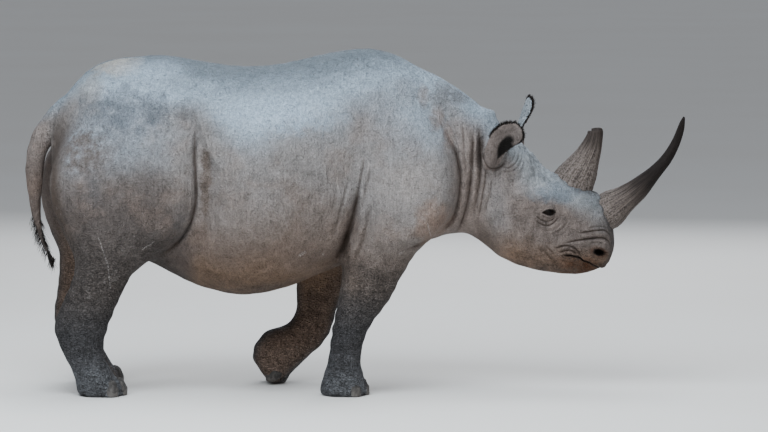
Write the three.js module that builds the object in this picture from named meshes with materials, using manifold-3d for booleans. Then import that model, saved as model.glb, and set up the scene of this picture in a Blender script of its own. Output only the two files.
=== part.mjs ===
// A black rhinoceros, life size, caught in mid-stride with its head held low.
// Millimetres. +X runs towards the nose, +Y to the animal's left and +Z up, with the floor at Z = 0.
// Every fleshy length is a loft: a closed skin carried through oval sections. A section is drawn in the
// side view between two of its points, and has a half width across the body. The legs and the tail sit in
// pockets of the trunk, and each long piece is parted by thin plane cuts.
import * as THREE from "three";
import { mergeVertices } from "three/addons/utils/BufferGeometryUtils.js";
import Module from "manifold-3d";

const wasm = await Module();
wasm.setup();

// ---- Driving dimensions ----
const GAP = 0.3; // clearance between neighbouring pieces
const HEAD_TURN = THREE.MathUtils.degToRad(7); // the head looks a little to the animal's right
const TURN_START = 640; // where along the neck the turn begins
const TURN_LENGTH = 220; // and how long a stretch of neck takes it up
const FORE_SPREAD = 225; // centre plane to the middle of a forefoot
const HIND_SPREAD = 240; // centre plane to the middle of a hind foot
const EYE_RADIUS = 31;
const EYE_CENTRE = [1078, 143, 838];
const EAR_LENGTH = 272;
const EAR_THICKNESS = 9;
const EAR_REAR = 92; // from the ear's middle line to its rear edge
const EAR_FRONT = 68; // and to its front edge near the tip
const EAR_TUCK = 14; // which is tucked in close along the canal
const NAIL_WIDTHS = [84, 74, 74]; // middle, inner and outer toe
const RIGHT = -1;
const LEFT = 1;

// ---- Colours and finishes ----
const finish = (colour, roughness) => new THREE.MeshStandardMaterial({ color: colour, roughness, metalness: 0 });
const HIDE = finish(0x8b8581, 0.85);
const LEG_HIDE = finish(0x5f5a57, 0.9);
const HORN = finish(0x4a403b, 0.6);
const NAIL = finish(0x3c3734, 0.65);
const EYE = finish(0x120e0c, 0.1);

// ---- Trunk, neck and head: top x, top z, bottom x, bottom z, half width, flare, power ----
// Flare widens the lower half of a section, and a power over 2 squares it.
const AXIS = [
  [-1225, 1240, -1222, 1000, 60, 0, 2],
  [-1180, 1352, -1185, 860, 175, 0, 2.2],
  [-1090, 1450, -1110, 740, 255, 0, 2.4],
  [-985, 1518, -1000, 665, 305, 0, 2.5],
  [-860, 1530, -860, 620, 325, 0.02, 2.5],
  [-725, 1551, -720, 565, 338, 0.05, 2.4],
  [-560, 1528, -550, 480, 360, 0.07, 2.35],
  [-360, 1498, -350, 438, 415, 0.07, 2.3],
  [-130, 1516, -130, 478, 425, 0.08, 2.3],
  [60, 1562, 60, 560, 390, 0.1, 2.25],
  [200, 1581, 200, 610, 350, 0.1, 2.2],
  [335, 1562, 330, 650, 310, 0.1, 2.2],
  [475, 1502, 460, 672, 262, 0.1, 2.1],
  [600, 1430, 560, 690, 225, 0.08, 2.1],
  [705, 1352, 640, 716, 202, 0.05, 2.1],
  [796, 1294, 700, 716, 182, 0.05, 2.1],
  [852, 1222, 770, 675, 168, 0.05, 2.3],
  [918, 1162, 835, 625, 174, 0.1, 2.4],
  [988, 1096, 918, 586, 178, 0.1, 2.5],
  [1052, 1024, 1008, 560, 172, 0.08, 2.5],
  [1128, 990, 1100, 546, 150, 0.06, 2.4],
  [1204, 948, 1184, 540, 130, 0.05, 2.4],
  [1276, 914, 1246, 548, 118, 0.02, 2.4],
  [1330, 860, 1290, 562, 110, 0, 2.3],
  [1362, 772, 1316, 572, 103, 0, 2.3],
  [1370, 690, 1336, 580, 88, 0, 2.3],
  [1362, 640, 1346, 598, 52, 0, 2],
];
const SHOULDER_CUT = { at: [520, 0, 1080], normal: [0.98, 0, 0.2] };
const HEAD_CUT = { at: [745, 0, 1000], normal: [0.985, 0, -0.17] };

// ---- Legs: front x, front z, back x, back z, y, half width, flare, power ----
// The left hind leg is the right one's mirror image, shifted along X by an amount for each height.
const HIND_LEG = [
  [-600, 1410, -930, 1360, 95, 60, 0, 2.2],
  [-530, 1310, -1080, 1280, 145, 112, 0, 2.6],
  [-506, 1175, -1195, 1130, 182, 162, 0, 3],
  [-500, 1010, -1240, 980, 208, 188, 0, 3.1],
  [-522, 865, -1215, 850, 222, 184, 0, 3],
  [-625, 738, -1165, 735, 230, 165, 0, 2.7],
  [-750, 640, -1122, 645, 235, 138, 0, 2.4],
  [-850, 545, -1120, 550, 240, 112, 0, 2.3],
  [-908, 432, -1165, 440, 240, 97, 0, 2.3],
  [-955, 330, -1222, 318, 240, 94, 0, 2.3],
  [-985, 235, -1190, 228, 240, 86, 0, 2.3],
  [-972, 165, -1155, 158, 240, 86, 0, 2.3],
  [-945, 105, -1118, 95, 240, 98, 0, 2.3],
  [-900, 48, -1108, 42, HIND_SPREAD, 115, 0, 2.3],
  [-888, 0, -1102, 0, HIND_SPREAD, 118, 0, 2.3],
];
const HIND_STEP = -40; // how far the left hind foot stands behind the right one
const HIND_STANCE = [[1400, -20], [1000, -62], [700, -108], [560, -100], [340, -24], [150, HIND_STEP], [0, HIND_STEP]];

const FORE_LEG_STANDING = [
  [450, 1380, 200, 1420, 110, 55, 0, 2.2],
  [545, 1270, 130, 1290, 148, 112, 0, 2.4],
  [620, 1130, 110, 1150, 178, 150, 0, 2.7],
  [652, 980, 120, 1000, 196, 166, 0, 2.8],
  [630, 850, 135, 860, 208, 168, 0, 2.7],
  [560, 745, 135, 760, 218, 156, 0, 2.5],
  [475, 680, 120, 670, 224, 138, 0, 2.4],
  [430, 620, 108, 590, 228, 122, 0, 2.3],
  [400, 545, 100, 510, 230, 106, 0, 2.3],
  [345, 450, 88, 435, 230, 92, 0, 2.3],
  [272, 362, 75, 355, 228, 85, 0, 2.3],
  [228, 292, 62, 285, 226, 84, 0, 2.3],
  [206, 215, 52, 205, FORE_SPREAD, 80, 0, 2.3],
  [200, 140, 40, 130, FORE_SPREAD, 86, 0, 2.3],
  [215, 75, 22, 68, FORE_SPREAD, 104, 0, 2.3],
  [228, 25, 10, 22, FORE_SPREAD, 117, 0, 2.3],
  [224, 0, 8, 0, FORE_SPREAD, 117, 0, 2.3],
];
const FORE_LEG_LIFTING = [
  ...FORE_LEG_STANDING.slice(0, 5),
  [550, 750, 115, 770, 218, 156, 0, 2.5],
  [425, 690, 60, 690, 224, 138, 0, 2.4],
  [340, 610, -10, 605, 228, 120, 0, 2.3],
  [235, 530, -75, 535, 230, 104, 0, 2.3],
  [130, 445, -112, 455, 230, 92, 0, 2.3],
  [84, 360, -106, 375, 228, 85, 0, 2.3],
  [72, 275, -110, 308, 227, 85, 0, 2.3],
  [48, 212, -150, 278, 226, 86, 0, 2.3],
  [0, 160, -205, 262, FORE_SPREAD, 93, 0, 2.3],
  [-65, 108, -255, 245, FORE_SPREAD, 104, 0, 2.3],
  [-125, 48, -288, 208, FORE_SPREAD, 114, 0, 2.3],
  [-188, -10, -306, 165, FORE_SPREAD, 112, 0, 2.3],
  [-226, -2, -313, 126, FORE_SPREAD, 84, 0, 2.1],
];

const TAIL = [
  [-1050, 1240, -1130, 1390, 0, 70, 0, 2],
  [-1140, 1262, -1200, 1345, 0, 60, 0, 2],
  [-1190, 1215, -1262, 1280, 0, 52, 0, 2],
  [-1232, 1150, -1318, 1200, 0, 46, 0, 2],
  [-1256, 1080, -1348, 1110, 0, 42, 0, 2],
  [-1266, 1000, -1357, 1015, 0, 37, 0, 2],
  [-1274, 915, -1346, 915, 0, 30, 0, 2],
  [-1280, 830, -1332, 822, 0, 24, 0, 2],
  [-1276, 760, -1312, 745, 0, 19, 0, 2],
  [-1258, 690, -1288, 672, 0, 15, 0, 2],
  [-1232, 628, -1258, 612, 0, 12, 0, 2],
  [-1215, 592, -1232, 582, 0, 7, 0, 2],
];

// ---- Horns: rear edge x, z, front edge x, z, y, half width, flare, power ----
const FRONT_HORN = [
  [1262, 880, 1340, 735, 0, 76, 0, 2],
  [1326, 922, 1402, 772, 0, 73, 0, 2],
  [1398, 948, 1455, 836, 0, 60, 0, 2],
  [1470, 990, 1520, 906, 0, 46, 0, 2],
  [1546, 1046, 1580, 990, 0, 35, 0, 2],
  [1602, 1106, 1632, 1060, 0, 27, 0, 2],
  [1642, 1172, 1668, 1130, 0, 20, 0, 2],
  [1671, 1242, 1692, 1206, 0, 13, 0, 2],
  [1688, 1272, 1697, 1262, 0, 6, 0, 2],
];
const REAR_HORN = [
  [1088, 960, 1278, 880, 0, 68, 0, 2.2],
  [1106, 1016, 1293, 932, 0, 64, 0, 2.2],
  [1154, 1063, 1307, 993, 0, 52, 0, 2.1],
  [1200, 1110, 1314, 1054, 0, 40, 0, 2],
  [1236, 1158, 1318, 1110, 0, 31, 0, 2],
  [1252, 1196, 1320, 1168, 0, 25, 0, 2],
  [1268, 1216, 1312, 1213, 0, 16, 0, 2],
];

// ---- Forms under the skin: centre, reach, push outwards. Each is made on both sides ----
const FORMS = [
  { at: [-615, 275, 1345], reach: [110, 90, 70], push: [6, 20, 22] }, // point of the hip
  { at: [-900, 110, 1525], reach: [130, 90, 60], push: [0, 4, 10] }, // croup
  { at: [460, 330, 1120], reach: [110, 120, 230], push: [0, 12, 0] }, // shoulder blade
  { at: [930, 178, 780], reach: [120, 80, 120], push: [0, 16, 0] }, // cheek muscle
  { at: [1010, 178, 890], reach: [110, 60, 50], push: [0, 14, 4] }, // cheekbone
  { at: [1085, 150, 915], reach: [75, 60, 42], push: [0, 22, 8] }, // brow
  { at: [925, 130, 1110], reach: [80, 70, 80], push: [0, 22, 12] }, // root of the ear
  { at: [1325, 100, 655], reach: [60, 60, 62], push: [4, 24, 0] }, // wing of the nostril
  { at: [1235, 120, 590], reach: [80, 60, 50], push: [0, 12, 0] }, // corner of the lips
];
const NOSTRIL = { at: [1326, 118, 648], size: [26, 26, 19] };
const MOUTH = { corner: [1160, 626], tilt: THREE.MathUtils.degToRad(-22), length: 260, thickness: 3 };

// ---- Solids ----
const vector = (list) => new THREE.Vector3(...list);

// A manifold solid from a closed geometry.
function solid(geometry) {
  const bare = new THREE.BufferGeometry().setAttribute("position", geometry.getAttribute("position"));
  bare.setIndex(geometry.index);
  const merged = mergeVertices(bare, 1e-3);
  return new wasm.Manifold(
    new wasm.Mesh({
      numProp: 3,
      vertProperties: merged.attributes.position.array,
      triVerts: new Uint32Array(merged.index.array),
    }),
  );
}

// The largest connected piece of a solid, without the slivers that a cut leaves.
function largest(shape) {
  return shape.decompose().reduce((a, b) => (b.volume() > a.volume() ? b : a));
}

// A smooth step from 0 at a to 1 at b.
const ease = (x, a, b) => THREE.MathUtils.smoothstep(x, a, b);

// Pushes each point out over the forms, as far as the bell curve of its distance says.
function overForms(p) {
  for (const { at, reach, push } of FORMS) {
    for (const side of [RIGHT, LEFT]) {
      const away = ((p.x - at[0]) / reach[0]) ** 2 + ((p.y - side * at[1]) / reach[1]) ** 2
        + ((p.z - at[2]) / reach[2]) ** 2;
      const share = Math.exp(-away);
      p.x += share * push[0];
      p.y += share * push[1] * side;
      p.z += share * push[2];
    }
  }
  return p;
}

// Turns what lies ahead of the neck's middle to the animal's right, about an upright axis.
function turned(p) {
  const angle = -HEAD_TURN * ease(p.x, TURN_START, TURN_START + TURN_LENGTH);
  const pivot = new THREE.Vector3(TURN_START, 0, 0);
  return p.sub(pivot).applyAxisAngle(new THREE.Vector3(0, 0, 1), angle).add(pivot);
}

// Moves every vertex of a geometry with a function of its place.
function reshape(geometry, move) {
  const position = geometry.getAttribute("position");
  const p = new THREE.Vector3();
  for (let i = 0; i < position.count; i++) {
    p.fromBufferAttribute(position, i);
    move(p);
    position.setXYZ(i, p.x, p.y, p.z);
  }
  return geometry;
}

// A closed geometry from rings of points, each end fanned to the middle of its ring.
function skinOver(rings) {
  const sides = rings[0].length;
  const points = rings.flat();
  const faces = [];
  for (let r = 0; r + 1 < rings.length; r++) {
    for (let s = 0; s < sides; s++) {
      const a = r * sides + s;
      const d = r * sides + ((s + 1) % sides);
      faces.push(a, d, a + sides, a + sides, d, d + sides);
    }
  }
  const fan = (ring, offset, flip) => {
    const middle = points.push(ring.reduce((sum, p) => sum.add(p), new THREE.Vector3()).divideScalar(sides)) - 1;
    for (let s = 0; s < sides; s++) {
      const pair = [offset + s, offset + ((s + 1) % sides)];
      faces.push(middle, ...(flip ? pair.reverse() : pair));
    }
  };
  fan(rings[0], 0, true);
  fan(rings.at(-1), (rings.length - 1) * sides, false);
  return new THREE.BufferGeometry().setFromPoints(points).setIndex(faces);
}

// A loft through sections of [x, z, x, z, y, half width, flare, power], grown outwards by `grow`.
function loft(sections, { sides, steps, grow = 0 }) {
  const first = new THREE.CatmullRomCurve3(sections.map((s) => new THREE.Vector3(s[0], s[4], s[1])));
  const second = new THREE.CatmullRomCurve3(sections.map((s) => new THREE.Vector3(s[2], s[4], s[3])));
  const form = new THREE.CatmullRomCurve3(sections.map((s) => new THREE.Vector3(s[5], s[6] * 100, s[7] * 100)));
  const count = (sections.length - 1) * steps;
  const across = new THREE.Vector3(0, 1, 0);
  const rings = [];
  for (let i = 0; i <= count; i++) {
    const a = first.getPoint(i / count);
    const b = second.getPoint(i / count);
    const { x: half, y: flare, z: power } = form.getPoint(i / count);
    const reach = a.clone().sub(b).multiplyScalar(0.5);
    const middle = a.clone().add(b).multiplyScalar(0.5);
    const along = reach.clone().normalize();
    if (i === 0 || i === count) {
      const out = across.clone().cross(along).multiplyScalar(i ? grow : -grow);
      middle.add(out);
    }
    reach.addScaledVector(along, grow);
    const bend = (value) => Math.sign(value) * Math.abs(value) ** (200 / power);
    rings.push(
      Array.from({ length: sides }, (_, s) => {
        const angle = (2 * Math.PI * s) / sides;
        const up = bend(Math.sin(angle));
        const out = bend(Math.cos(angle)) * (half + grow) * (1 - (flare / 100) * up);
        return middle.clone().addScaledVector(reach, up).addScaledVector(across, out);
      }),
    );
  }
  return skinOver(rings);
}

// The half of a solid on one side of a plane, with half the clearance taken off.
function half(shape, { at, normal }, sign) {
  const reach = 4000;
  const block = new THREE.BoxGeometry(reach, reach, reach).translate(0, 0, reach / 2 + GAP / 2);
  const turn = new THREE.Quaternion().setFromUnitVectors(
    new THREE.Vector3(0, 0, 1),
    vector(normal).multiplyScalar(sign).normalize(),
  );
  block.applyQuaternion(turn).translate(...at);
  return largest(shape.intersect(solid(block)));
}

// A long solid parted at each of a list of planes, from its start to its end.
function part(shape, planes) {
  const pieces = [];
  let rest = shape;
  for (const plane of planes) {
    pieces.push(half(rest, plane, -1));
    rest = half(rest, plane, 1);
  }
  return [...pieces, rest];
}

const floorOff = (shape) => {
  const below = new THREE.BoxGeometry(5000, 2000, 400).translate(0, 0, -200);
  return shape.subtract(solid(below));
};

// ---- The flesh ----
const TRUNK_MESH = { sides: 22, steps: 2 };
const LEG_MESH = { sides: 14, steps: 1 };
const TAIL_MESH = { sides: 8, steps: 1 };
const HORN_MESH = { sides: 12, steps: 1 };

const flesh = (sections, mesh) => solid(reshape(loft(sections, mesh), (p) => turned(overForms(p))));
const bothSizes = (sections, mesh) => ({
  real: flesh(sections, mesh),
  grown: flesh(sections, { ...mesh, grow: GAP }),
});
const onSide = (sections, side) => sections.map((s) => [...s.slice(0, 4), side * s[4], ...s.slice(5)]);

// Straight lines between the [height, shift] pairs of a stance.
function shiftAt(stance, z) {
  const i = stance.findIndex(([height]) => height <= z);
  if (i <= 0) return stance.at(i)[1];
  const [high, low] = [stance[i - 1], stance[i]];
  return THREE.MathUtils.mapLinear(z, high[0], low[0], high[1], low[1]);
}

const stepped = HIND_LEG.map(([ax, az, bx, bz, ...rest]) => [
  ax + shiftAt(HIND_STANCE, az), az, bx + shiftAt(HIND_STANCE, bz), bz, ...rest,
]);

const legs = {
  foreleg_right: bothSizes(onSide(FORE_LEG_STANDING, RIGHT), LEG_MESH),
  foreleg_left: bothSizes(onSide(FORE_LEG_LIFTING, LEFT), LEG_MESH),
  hindleg_right: bothSizes(onSide(HIND_LEG, RIGHT), LEG_MESH),
  hindleg_left: bothSizes(onSide(stepped, LEFT), LEG_MESH),
};
const tail = bothSizes(TAIL, TAIL_MESH);

const axis = AXIS.map((s) => [...s.slice(0, 4), 0, ...s.slice(4)]); // on the centre plane
let body = flesh(axis, TRUNK_MESH);
const bodyGrown = flesh(axis, { ...TRUNK_MESH, grow: GAP });
for (const { grown } of [...Object.values(legs), tail]) body = body.subtract(grown);
const [trunk, foreParts] = part(body, [SHOULDER_CUT]);
const [neck, headWhole] = part(foreParts, [HEAD_CUT]);

// ---- Eyes, in sockets ----
const eyePlace = (side) => turned(new THREE.Vector3(EYE_CENTRE[0], side * EYE_CENTRE[1], EYE_CENTRE[2]));
const ball = (radius, place) => solid(new THREE.SphereGeometry(radius, 10, 7).translate(...place.toArray()));

// ---- Ears: a leaf with a deep groove down its middle, on a short stem ----
// The leaf is an oval that narrows to the root at the front. Across it, a hollow of bell-shaped section
// runs up from the ear canal and opens out into a shallow bowl.
const EAR_SIDES = 8;
const EAR_STEPS = 8;
const EARS = [
  { side: RIGHT, root: [832, 158, 1040], axis: [0.39, 0.4, 0.83], face: [0.25, 0.97, 0] },
  { side: LEFT, root: [884, 150, 1086], axis: [0.2, 0.16, 0.95], face: [0.9, 0.4, 0] },
];
function earFrame({ side, root, axis, face }) {
  const mirror = (list) => new THREE.Vector3(list[0], list[1] * side, list[2]);
  const up = mirror(axis).normalize();
  const open = mirror(face);
  open.addScaledVector(up, -open.dot(up)).normalize();
  const front = up.clone().cross(open).multiplyScalar(-side);
  return new THREE.Matrix4().makeBasis(front, open, up).setPosition(mirror(root));
}

// A point of the leaf, v from -1 at its rear edge to 1 at its front edge, u from root to tip.
function earPoint(u, v, out) {
  const low = Math.sqrt(1 - (1 - Math.min(1, (u + 0.004) / 0.25)) ** 2);
  const high = Math.sqrt(Math.max(0.004, 1 - Math.max(0, (u - 0.45) / 0.55) ** 3));
  const front = THREE.MathUtils.lerp(EAR_TUCK, EAR_FRONT, ease(u, 0.35, 0.85));
  const width = (v < 0 ? EAR_REAR : front) * low * high;
  const depth = THREE.MathUtils.lerp(62, 26, ease(u, 0.1, 0.75));
  const reach = THREE.MathUtils.lerp(26, 62, ease(u, 0.1, 0.8));
  const hollow = Math.exp(-(((v * width) / reach) ** 2));
  return new THREE.Vector3(v * width, depth * (1 - hollow) + 22 * u * u + out, u * EAR_LENGTH);
}

function earSolid(ear) {
  const row = Array.from({ length: EAR_SIDES + 1 }, (_, j) => (2 * j) / EAR_SIDES - 1);
  const rings = Array.from({ length: EAR_STEPS + 1 }, (_, i) => [
    ...row.map((v) => earPoint(i / EAR_STEPS, v, -EAR_THICKNESS / 2)),
    ...row.map((v) => earPoint(i / EAR_STEPS, -v, EAR_THICKNESS / 2)),
  ]);
  const leaf = skinOver(rings);
  const stem = new THREE.SphereGeometry(1, 8, 6).scale(46, 40, 62).translate(-6, -40, 66);
  const placed = [leaf, stem].map((piece) => {
    piece.applyMatrix4(earFrame(ear));
    if (ear.side === RIGHT) piece.index.array.reverse(); // its frame is the left ear's mirrored
    return solid(reshape(piece, turned));
  });
  return placed[0].add(placed[1]);
}

// ---- Nails: three round hooves let into the front of each foot ----
// Each is a squashed ball that leans with the foot's wall, trimmed by the foot and by the floor.
const NAIL_ANGLES = [0, 56, -56];
function nailSolid(foot, index) {
  const width = NAIL_WIDTHS[index];
  const angle = THREE.MathUtils.degToRad(NAIL_ANGLES[index]);
  const nail = new THREE.SphereGeometry(1, 8, 6).scale(30, width / 2, 58);
  nail.rotateY(-0.22).translate(foot.reach[0] - 20, 0, 26);
  nail.rotateZ(angle);
  nail.scale(1, foot.reach[1] / foot.reach[0], 1);
  nail.rotateY(foot.pitch).translate(...foot.at);
  return floorOff(solid(nail));
}

const HIND_FOOT = -995; // X of the middle of the right hind foot
const FEET = {
  foreleg_right: { at: [116, RIGHT * FORE_SPREAD, 0], reach: [112, 118], pitch: 0 },
  foreleg_left: { at: [-249, LEFT * FORE_SPREAD, 80], reach: [106, 114], pitch: 0.98 },
  hindleg_right: { at: [HIND_FOOT, RIGHT * HIND_SPREAD, 0], reach: [110, 119], pitch: 0 },
  hindleg_left: { at: [HIND_FOOT + HIND_STEP, LEFT * HIND_SPREAD, 0], reach: [110, 119], pitch: 0 },
};

// Where each leg is parted: above the wrist or hock, and above the foot.
const LEG_CUTS = {
  foreleg_right: [{ at: [260, 0, 560], normal: [-0.25, 0, -0.97] }, { at: [125, 0, 150], normal: [0, 0, -1] }],
  foreleg_left: [{ at: [90, 0, 540], normal: [-0.35, 0, -0.94] }, { at: [-85, 0, 200], normal: [-0.75, 0, -0.66] }],
  hindleg_right: [{ at: [-960, 0, 590], normal: [-0.2, 0, -0.98] }, { at: [-1050, 0, 150], normal: [0, 0, -1] }],
  hindleg_left: [{ at: [-1010, 0, 590], normal: [-0.2, 0, -0.98] }, { at: [-1020, 0, 150], normal: [0, 0, -1] }],
};

// ---- The named pieces ----
const pieces = [];
const keep = (name, shape, material) => pieces.push({ name, shape, material });

keep("trunk", trunk, HIDE);
keep("neck", neck, HIDE);
keep("tail", tail.real, HIDE);

let head = headWhole;
for (const side of [RIGHT, LEFT]) {
  const name = side === RIGHT ? "right" : "left";
  const place = eyePlace(side);
  keep("eye_" + name, ball(EYE_RADIUS, place), EYE);
  head = head.subtract(ball(EYE_RADIUS + GAP, place));
  const pit = new THREE.SphereGeometry(1, 8, 6).scale(...NOSTRIL.size);
  pit.rotateY(0.5).translate(NOSTRIL.at[0], side * NOSTRIL.at[1], NOSTRIL.at[2]);
  head = head.subtract(solid(reshape(pit, turned)));
}
const slit = new THREE.BoxGeometry(MOUTH.length, 400, MOUTH.thickness).translate(MOUTH.length / 2, 0, 0);
slit.rotateY(-MOUTH.tilt).translate(MOUTH.corner[0], 0, MOUTH.corner[1]);
head = head.subtract(solid(reshape(slit, turned)));
keep("head", largest(head), HIDE);

for (const ear of EARS) {
  const name = ear.side === RIGHT ? "right" : "left";
  keep("ear_" + name, largest(earSolid(ear).subtract(bodyGrown)), HIDE);
}

keep("horn_front", largest(flesh(FRONT_HORN, HORN_MESH).subtract(bodyGrown)), HORN);
keep("horn_rear", largest(flesh(REAR_HORN, HORN_MESH).subtract(bodyGrown)), HORN);

for (const [name, { real, grown }] of Object.entries(legs)) {
  const [upper, lower, foot] = part(floorOff(real), LEG_CUTS[name]);
  keep(name + "_upper", upper, HIDE);
  keep(name + "_lower", lower, LEG_HIDE);
  keep(name + "_foot", foot, LEG_HIDE);
  const toes = ["middle", "inner", "outer"];
  toes.forEach((toe, i) => keep(`${name}_nail_${toe}`, largest(nailSolid(FEET[name], i).subtract(grown)), NAIL));
}

// ---- The group, with its origin on the floor under the middle of the animal ----
function meshOf({ name, shape, material }) {
  const { numProp, vertProperties, triVerts } = shape.getMesh();
  const position = new Float32Array((vertProperties.length / numProp) * 3);
  for (let i = 0; i < position.length / 3; i++) {
    position.set(vertProperties.subarray(i * numProp, i * numProp + 3), i * 3);
  }
  const geometry = new THREE.BufferGeometry()
    .setAttribute("position", new THREE.BufferAttribute(position, 3))
    .setIndex(new THREE.BufferAttribute(triVerts, 1));
  const mesh = new THREE.Mesh(geometry, material);
  mesh.name = name;
  return mesh;
}

const rhinoceros = new THREE.Group();
rhinoceros.add(...pieces.map(meshOf));
const box = new THREE.Box3().setFromObject(rhinoceros);
const centre = box.getCenter(new THREE.Vector3());
rhinoceros.position.set(-centre.x, -centre.y, -box.min.z);

export default rhinoceros;
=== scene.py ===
"""A black rhinoceros, life size, walking with its head low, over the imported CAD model.

Metres, +X towards the nose, +Y to the animal's left, +Z up, with the floor at Z = 0.
"""

import math

import bpy
import numpy as np
import openvdb as vdb
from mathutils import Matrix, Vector


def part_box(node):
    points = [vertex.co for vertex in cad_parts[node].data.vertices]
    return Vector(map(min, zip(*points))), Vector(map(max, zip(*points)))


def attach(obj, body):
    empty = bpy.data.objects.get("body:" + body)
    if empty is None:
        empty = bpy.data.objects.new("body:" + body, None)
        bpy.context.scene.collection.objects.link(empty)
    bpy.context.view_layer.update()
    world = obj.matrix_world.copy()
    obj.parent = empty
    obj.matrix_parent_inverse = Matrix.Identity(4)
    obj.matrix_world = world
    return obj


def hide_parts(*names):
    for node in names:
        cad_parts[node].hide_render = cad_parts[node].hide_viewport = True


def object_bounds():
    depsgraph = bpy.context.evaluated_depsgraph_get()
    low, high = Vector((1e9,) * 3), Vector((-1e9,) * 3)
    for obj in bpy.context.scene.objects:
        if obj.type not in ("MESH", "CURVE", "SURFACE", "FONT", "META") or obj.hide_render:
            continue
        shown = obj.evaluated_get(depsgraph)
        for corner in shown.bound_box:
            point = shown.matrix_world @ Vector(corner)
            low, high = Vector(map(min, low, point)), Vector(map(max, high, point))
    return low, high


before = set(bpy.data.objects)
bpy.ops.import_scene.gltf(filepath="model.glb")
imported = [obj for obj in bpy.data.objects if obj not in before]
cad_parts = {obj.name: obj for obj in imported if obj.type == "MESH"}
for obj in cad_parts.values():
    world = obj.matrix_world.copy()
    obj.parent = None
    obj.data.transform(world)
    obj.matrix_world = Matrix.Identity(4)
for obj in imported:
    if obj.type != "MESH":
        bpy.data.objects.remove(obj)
cad_box = [list(corner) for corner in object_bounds()]
box_low, box_high = (np.array(corner) for corner in cad_box)
body_length = box_high[0] - box_low[0]
body_height = box_high[2]

# ---- Camera ----
# A long lens far off, square to the animal's right side and aimed at its middle from a little above, so
# that it is seen almost without perspective.
CAMERA_DISTANCE = 24.0
CAMERA_RISE = math.radians(5)
LENS = 243
AIM_AHEAD = 0.0458  # of the length, from the middle of the animal
AIM_HEIGHT = 0.5094  # of the height

middle = (box_low[0] + box_high[0]) / 2
aim = Vector((middle + AIM_AHEAD * body_length, 0, AIM_HEIGHT * body_height))
camera_data = bpy.data.cameras.new("camera")
camera_data.lens = LENS
camera_data.sensor_width = 36
camera_data.clip_end = 200
camera = bpy.data.objects.new("camera", camera_data)
away = Vector((0, -math.cos(CAMERA_RISE), math.sin(CAMERA_RISE)))
camera.location = aim + CAMERA_DISTANCE * away
camera.rotation_euler = away.to_track_quat("Z", "Y").to_euler()
bpy.context.collection.objects.link(camera)
bpy.context.scene.camera = camera


# ---- Floor ----
# A pale studio floor of smooth plaster, level and wide enough to reach out of every view.
# It only sets the animal off.
FLOOR_REACH = 90.0
FLOOR_LEVEL = -0.0015  # clear of the feet, which stand at zero
FLOOR_PALE = (0.80, 0.80, 0.79)
FLOOR_WARM = (0.76, 0.745, 0.72)


class Value:
    """The output of a shader node, which takes Python's operators and adds the Math node for each."""

    def __init__(self, finish, socket):
        self.finish, self.socket = finish, socket

    def maths(self, operation, *values):
        return self.finish.node("Math", {"operation": operation}, dict(enumerate(values)))

    def __add__(self, other):
        return self.maths("ADD", self, other)

    def __sub__(self, other):
        return self.maths("SUBTRACT", self, other)

    def __rsub__(self, other):
        return self.maths("SUBTRACT", other, self)

    def __mul__(self, other):
        return self.maths("MULTIPLY", self, other)

    def __truediv__(self, other):
        return self.maths("DIVIDE", self, other)

    def __pow__(self, other):
        return self.maths("POWER", self, other)

    __radd__, __rmul__ = __add__, __mul__


class Finish:
    """A material in the making. Fixed numbers are set on the shader, and nodes come from node()."""

    def __init__(self, name, **fixed):
        self.material = bpy.data.materials.new(name)
        self.material.use_nodes = True
        self.tree = self.material.node_tree
        self.shader = self.tree.nodes["Principled BSDF"]
        for socket, value in fixed.items():
            self.input(socket).default_value = value

    def input(self, name):
        """The shader's own socket, from its name in small letters."""
        return self.shader.inputs[name.replace("_", " ").title().replace("Ior", "IOR")]

    def join(self, value, socket):
        """Links a value to a socket, or sets a plain number or colour on it."""
        if isinstance(value, Value):
            self.tree.links.new(value.socket, socket)
        elif socket.type == "RGBA" and len(value) == 3:
            socket.default_value = (*value, 1)
        else:
            socket.default_value = value

    def node(self, kind, settings=(), values=(), out=0):
        """The output of a new node, after its settings are made and its sockets filled."""
        made = self.tree.nodes.new("ShaderNode" + kind)
        for name, value in dict(settings).items():
            setattr(made, name, value)
        for name, value in dict(values).items():
            self.join(value, made.inputs[name])
        return Value(self, made.outputs[out])

    def place(self):
        """The place in metres, which is the same on all pieces."""
        return self.node("TexCoord", out="Object")

    def attribute(self, name):
        return self.node("Attribute", {"attribute_name": name}, out="Fac")

    def stretched(self, place, scale):
        return self.node("Mapping", {}, {"Vector": place, "Scale": scale})

    def noise(self, place, scale, detail=3.0, rough=0.5, warp=0.0):
        return self.node("TexNoise", {}, {
            "Vector": place, "Scale": scale, "Detail": detail, "Roughness": rough, "Distortion": warp,
        })

    def ease(self, value, start, end):
        """0 before start, 1 past end and a smooth rise between them. End may be the lower one."""
        flip = start > end
        span = {"Value": value, "From Min": min(start, end), "From Max": max(start, end)}
        if flip:
            span.update({"To Min": 1.0, "To Max": 0.0})
        return self.node("MapRange", {"interpolation_type": "SMOOTHSTEP"}, span)

    def mix(self, share, first, second):
        return self.node("Mix", {"data_type": "RGBA"}, {0: share, 6: first, 7: second}, out=2)

    def bump(self, height, depth, normal=None):
        """A relief as deep as that, on top of another."""
        values = {"Height": height, "Distance": depth, "Strength": 1.0}
        if normal:
            values["Normal"] = normal
        return self.node("Bump", {}, values)

    def dress(self, piece, **inputs):
        """Gives the finish to a piece, with what changes over its surface."""
        for socket, value in inputs.items():
            self.join(value, self.input(socket))
        piece.data.materials.append(self.material)


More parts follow.
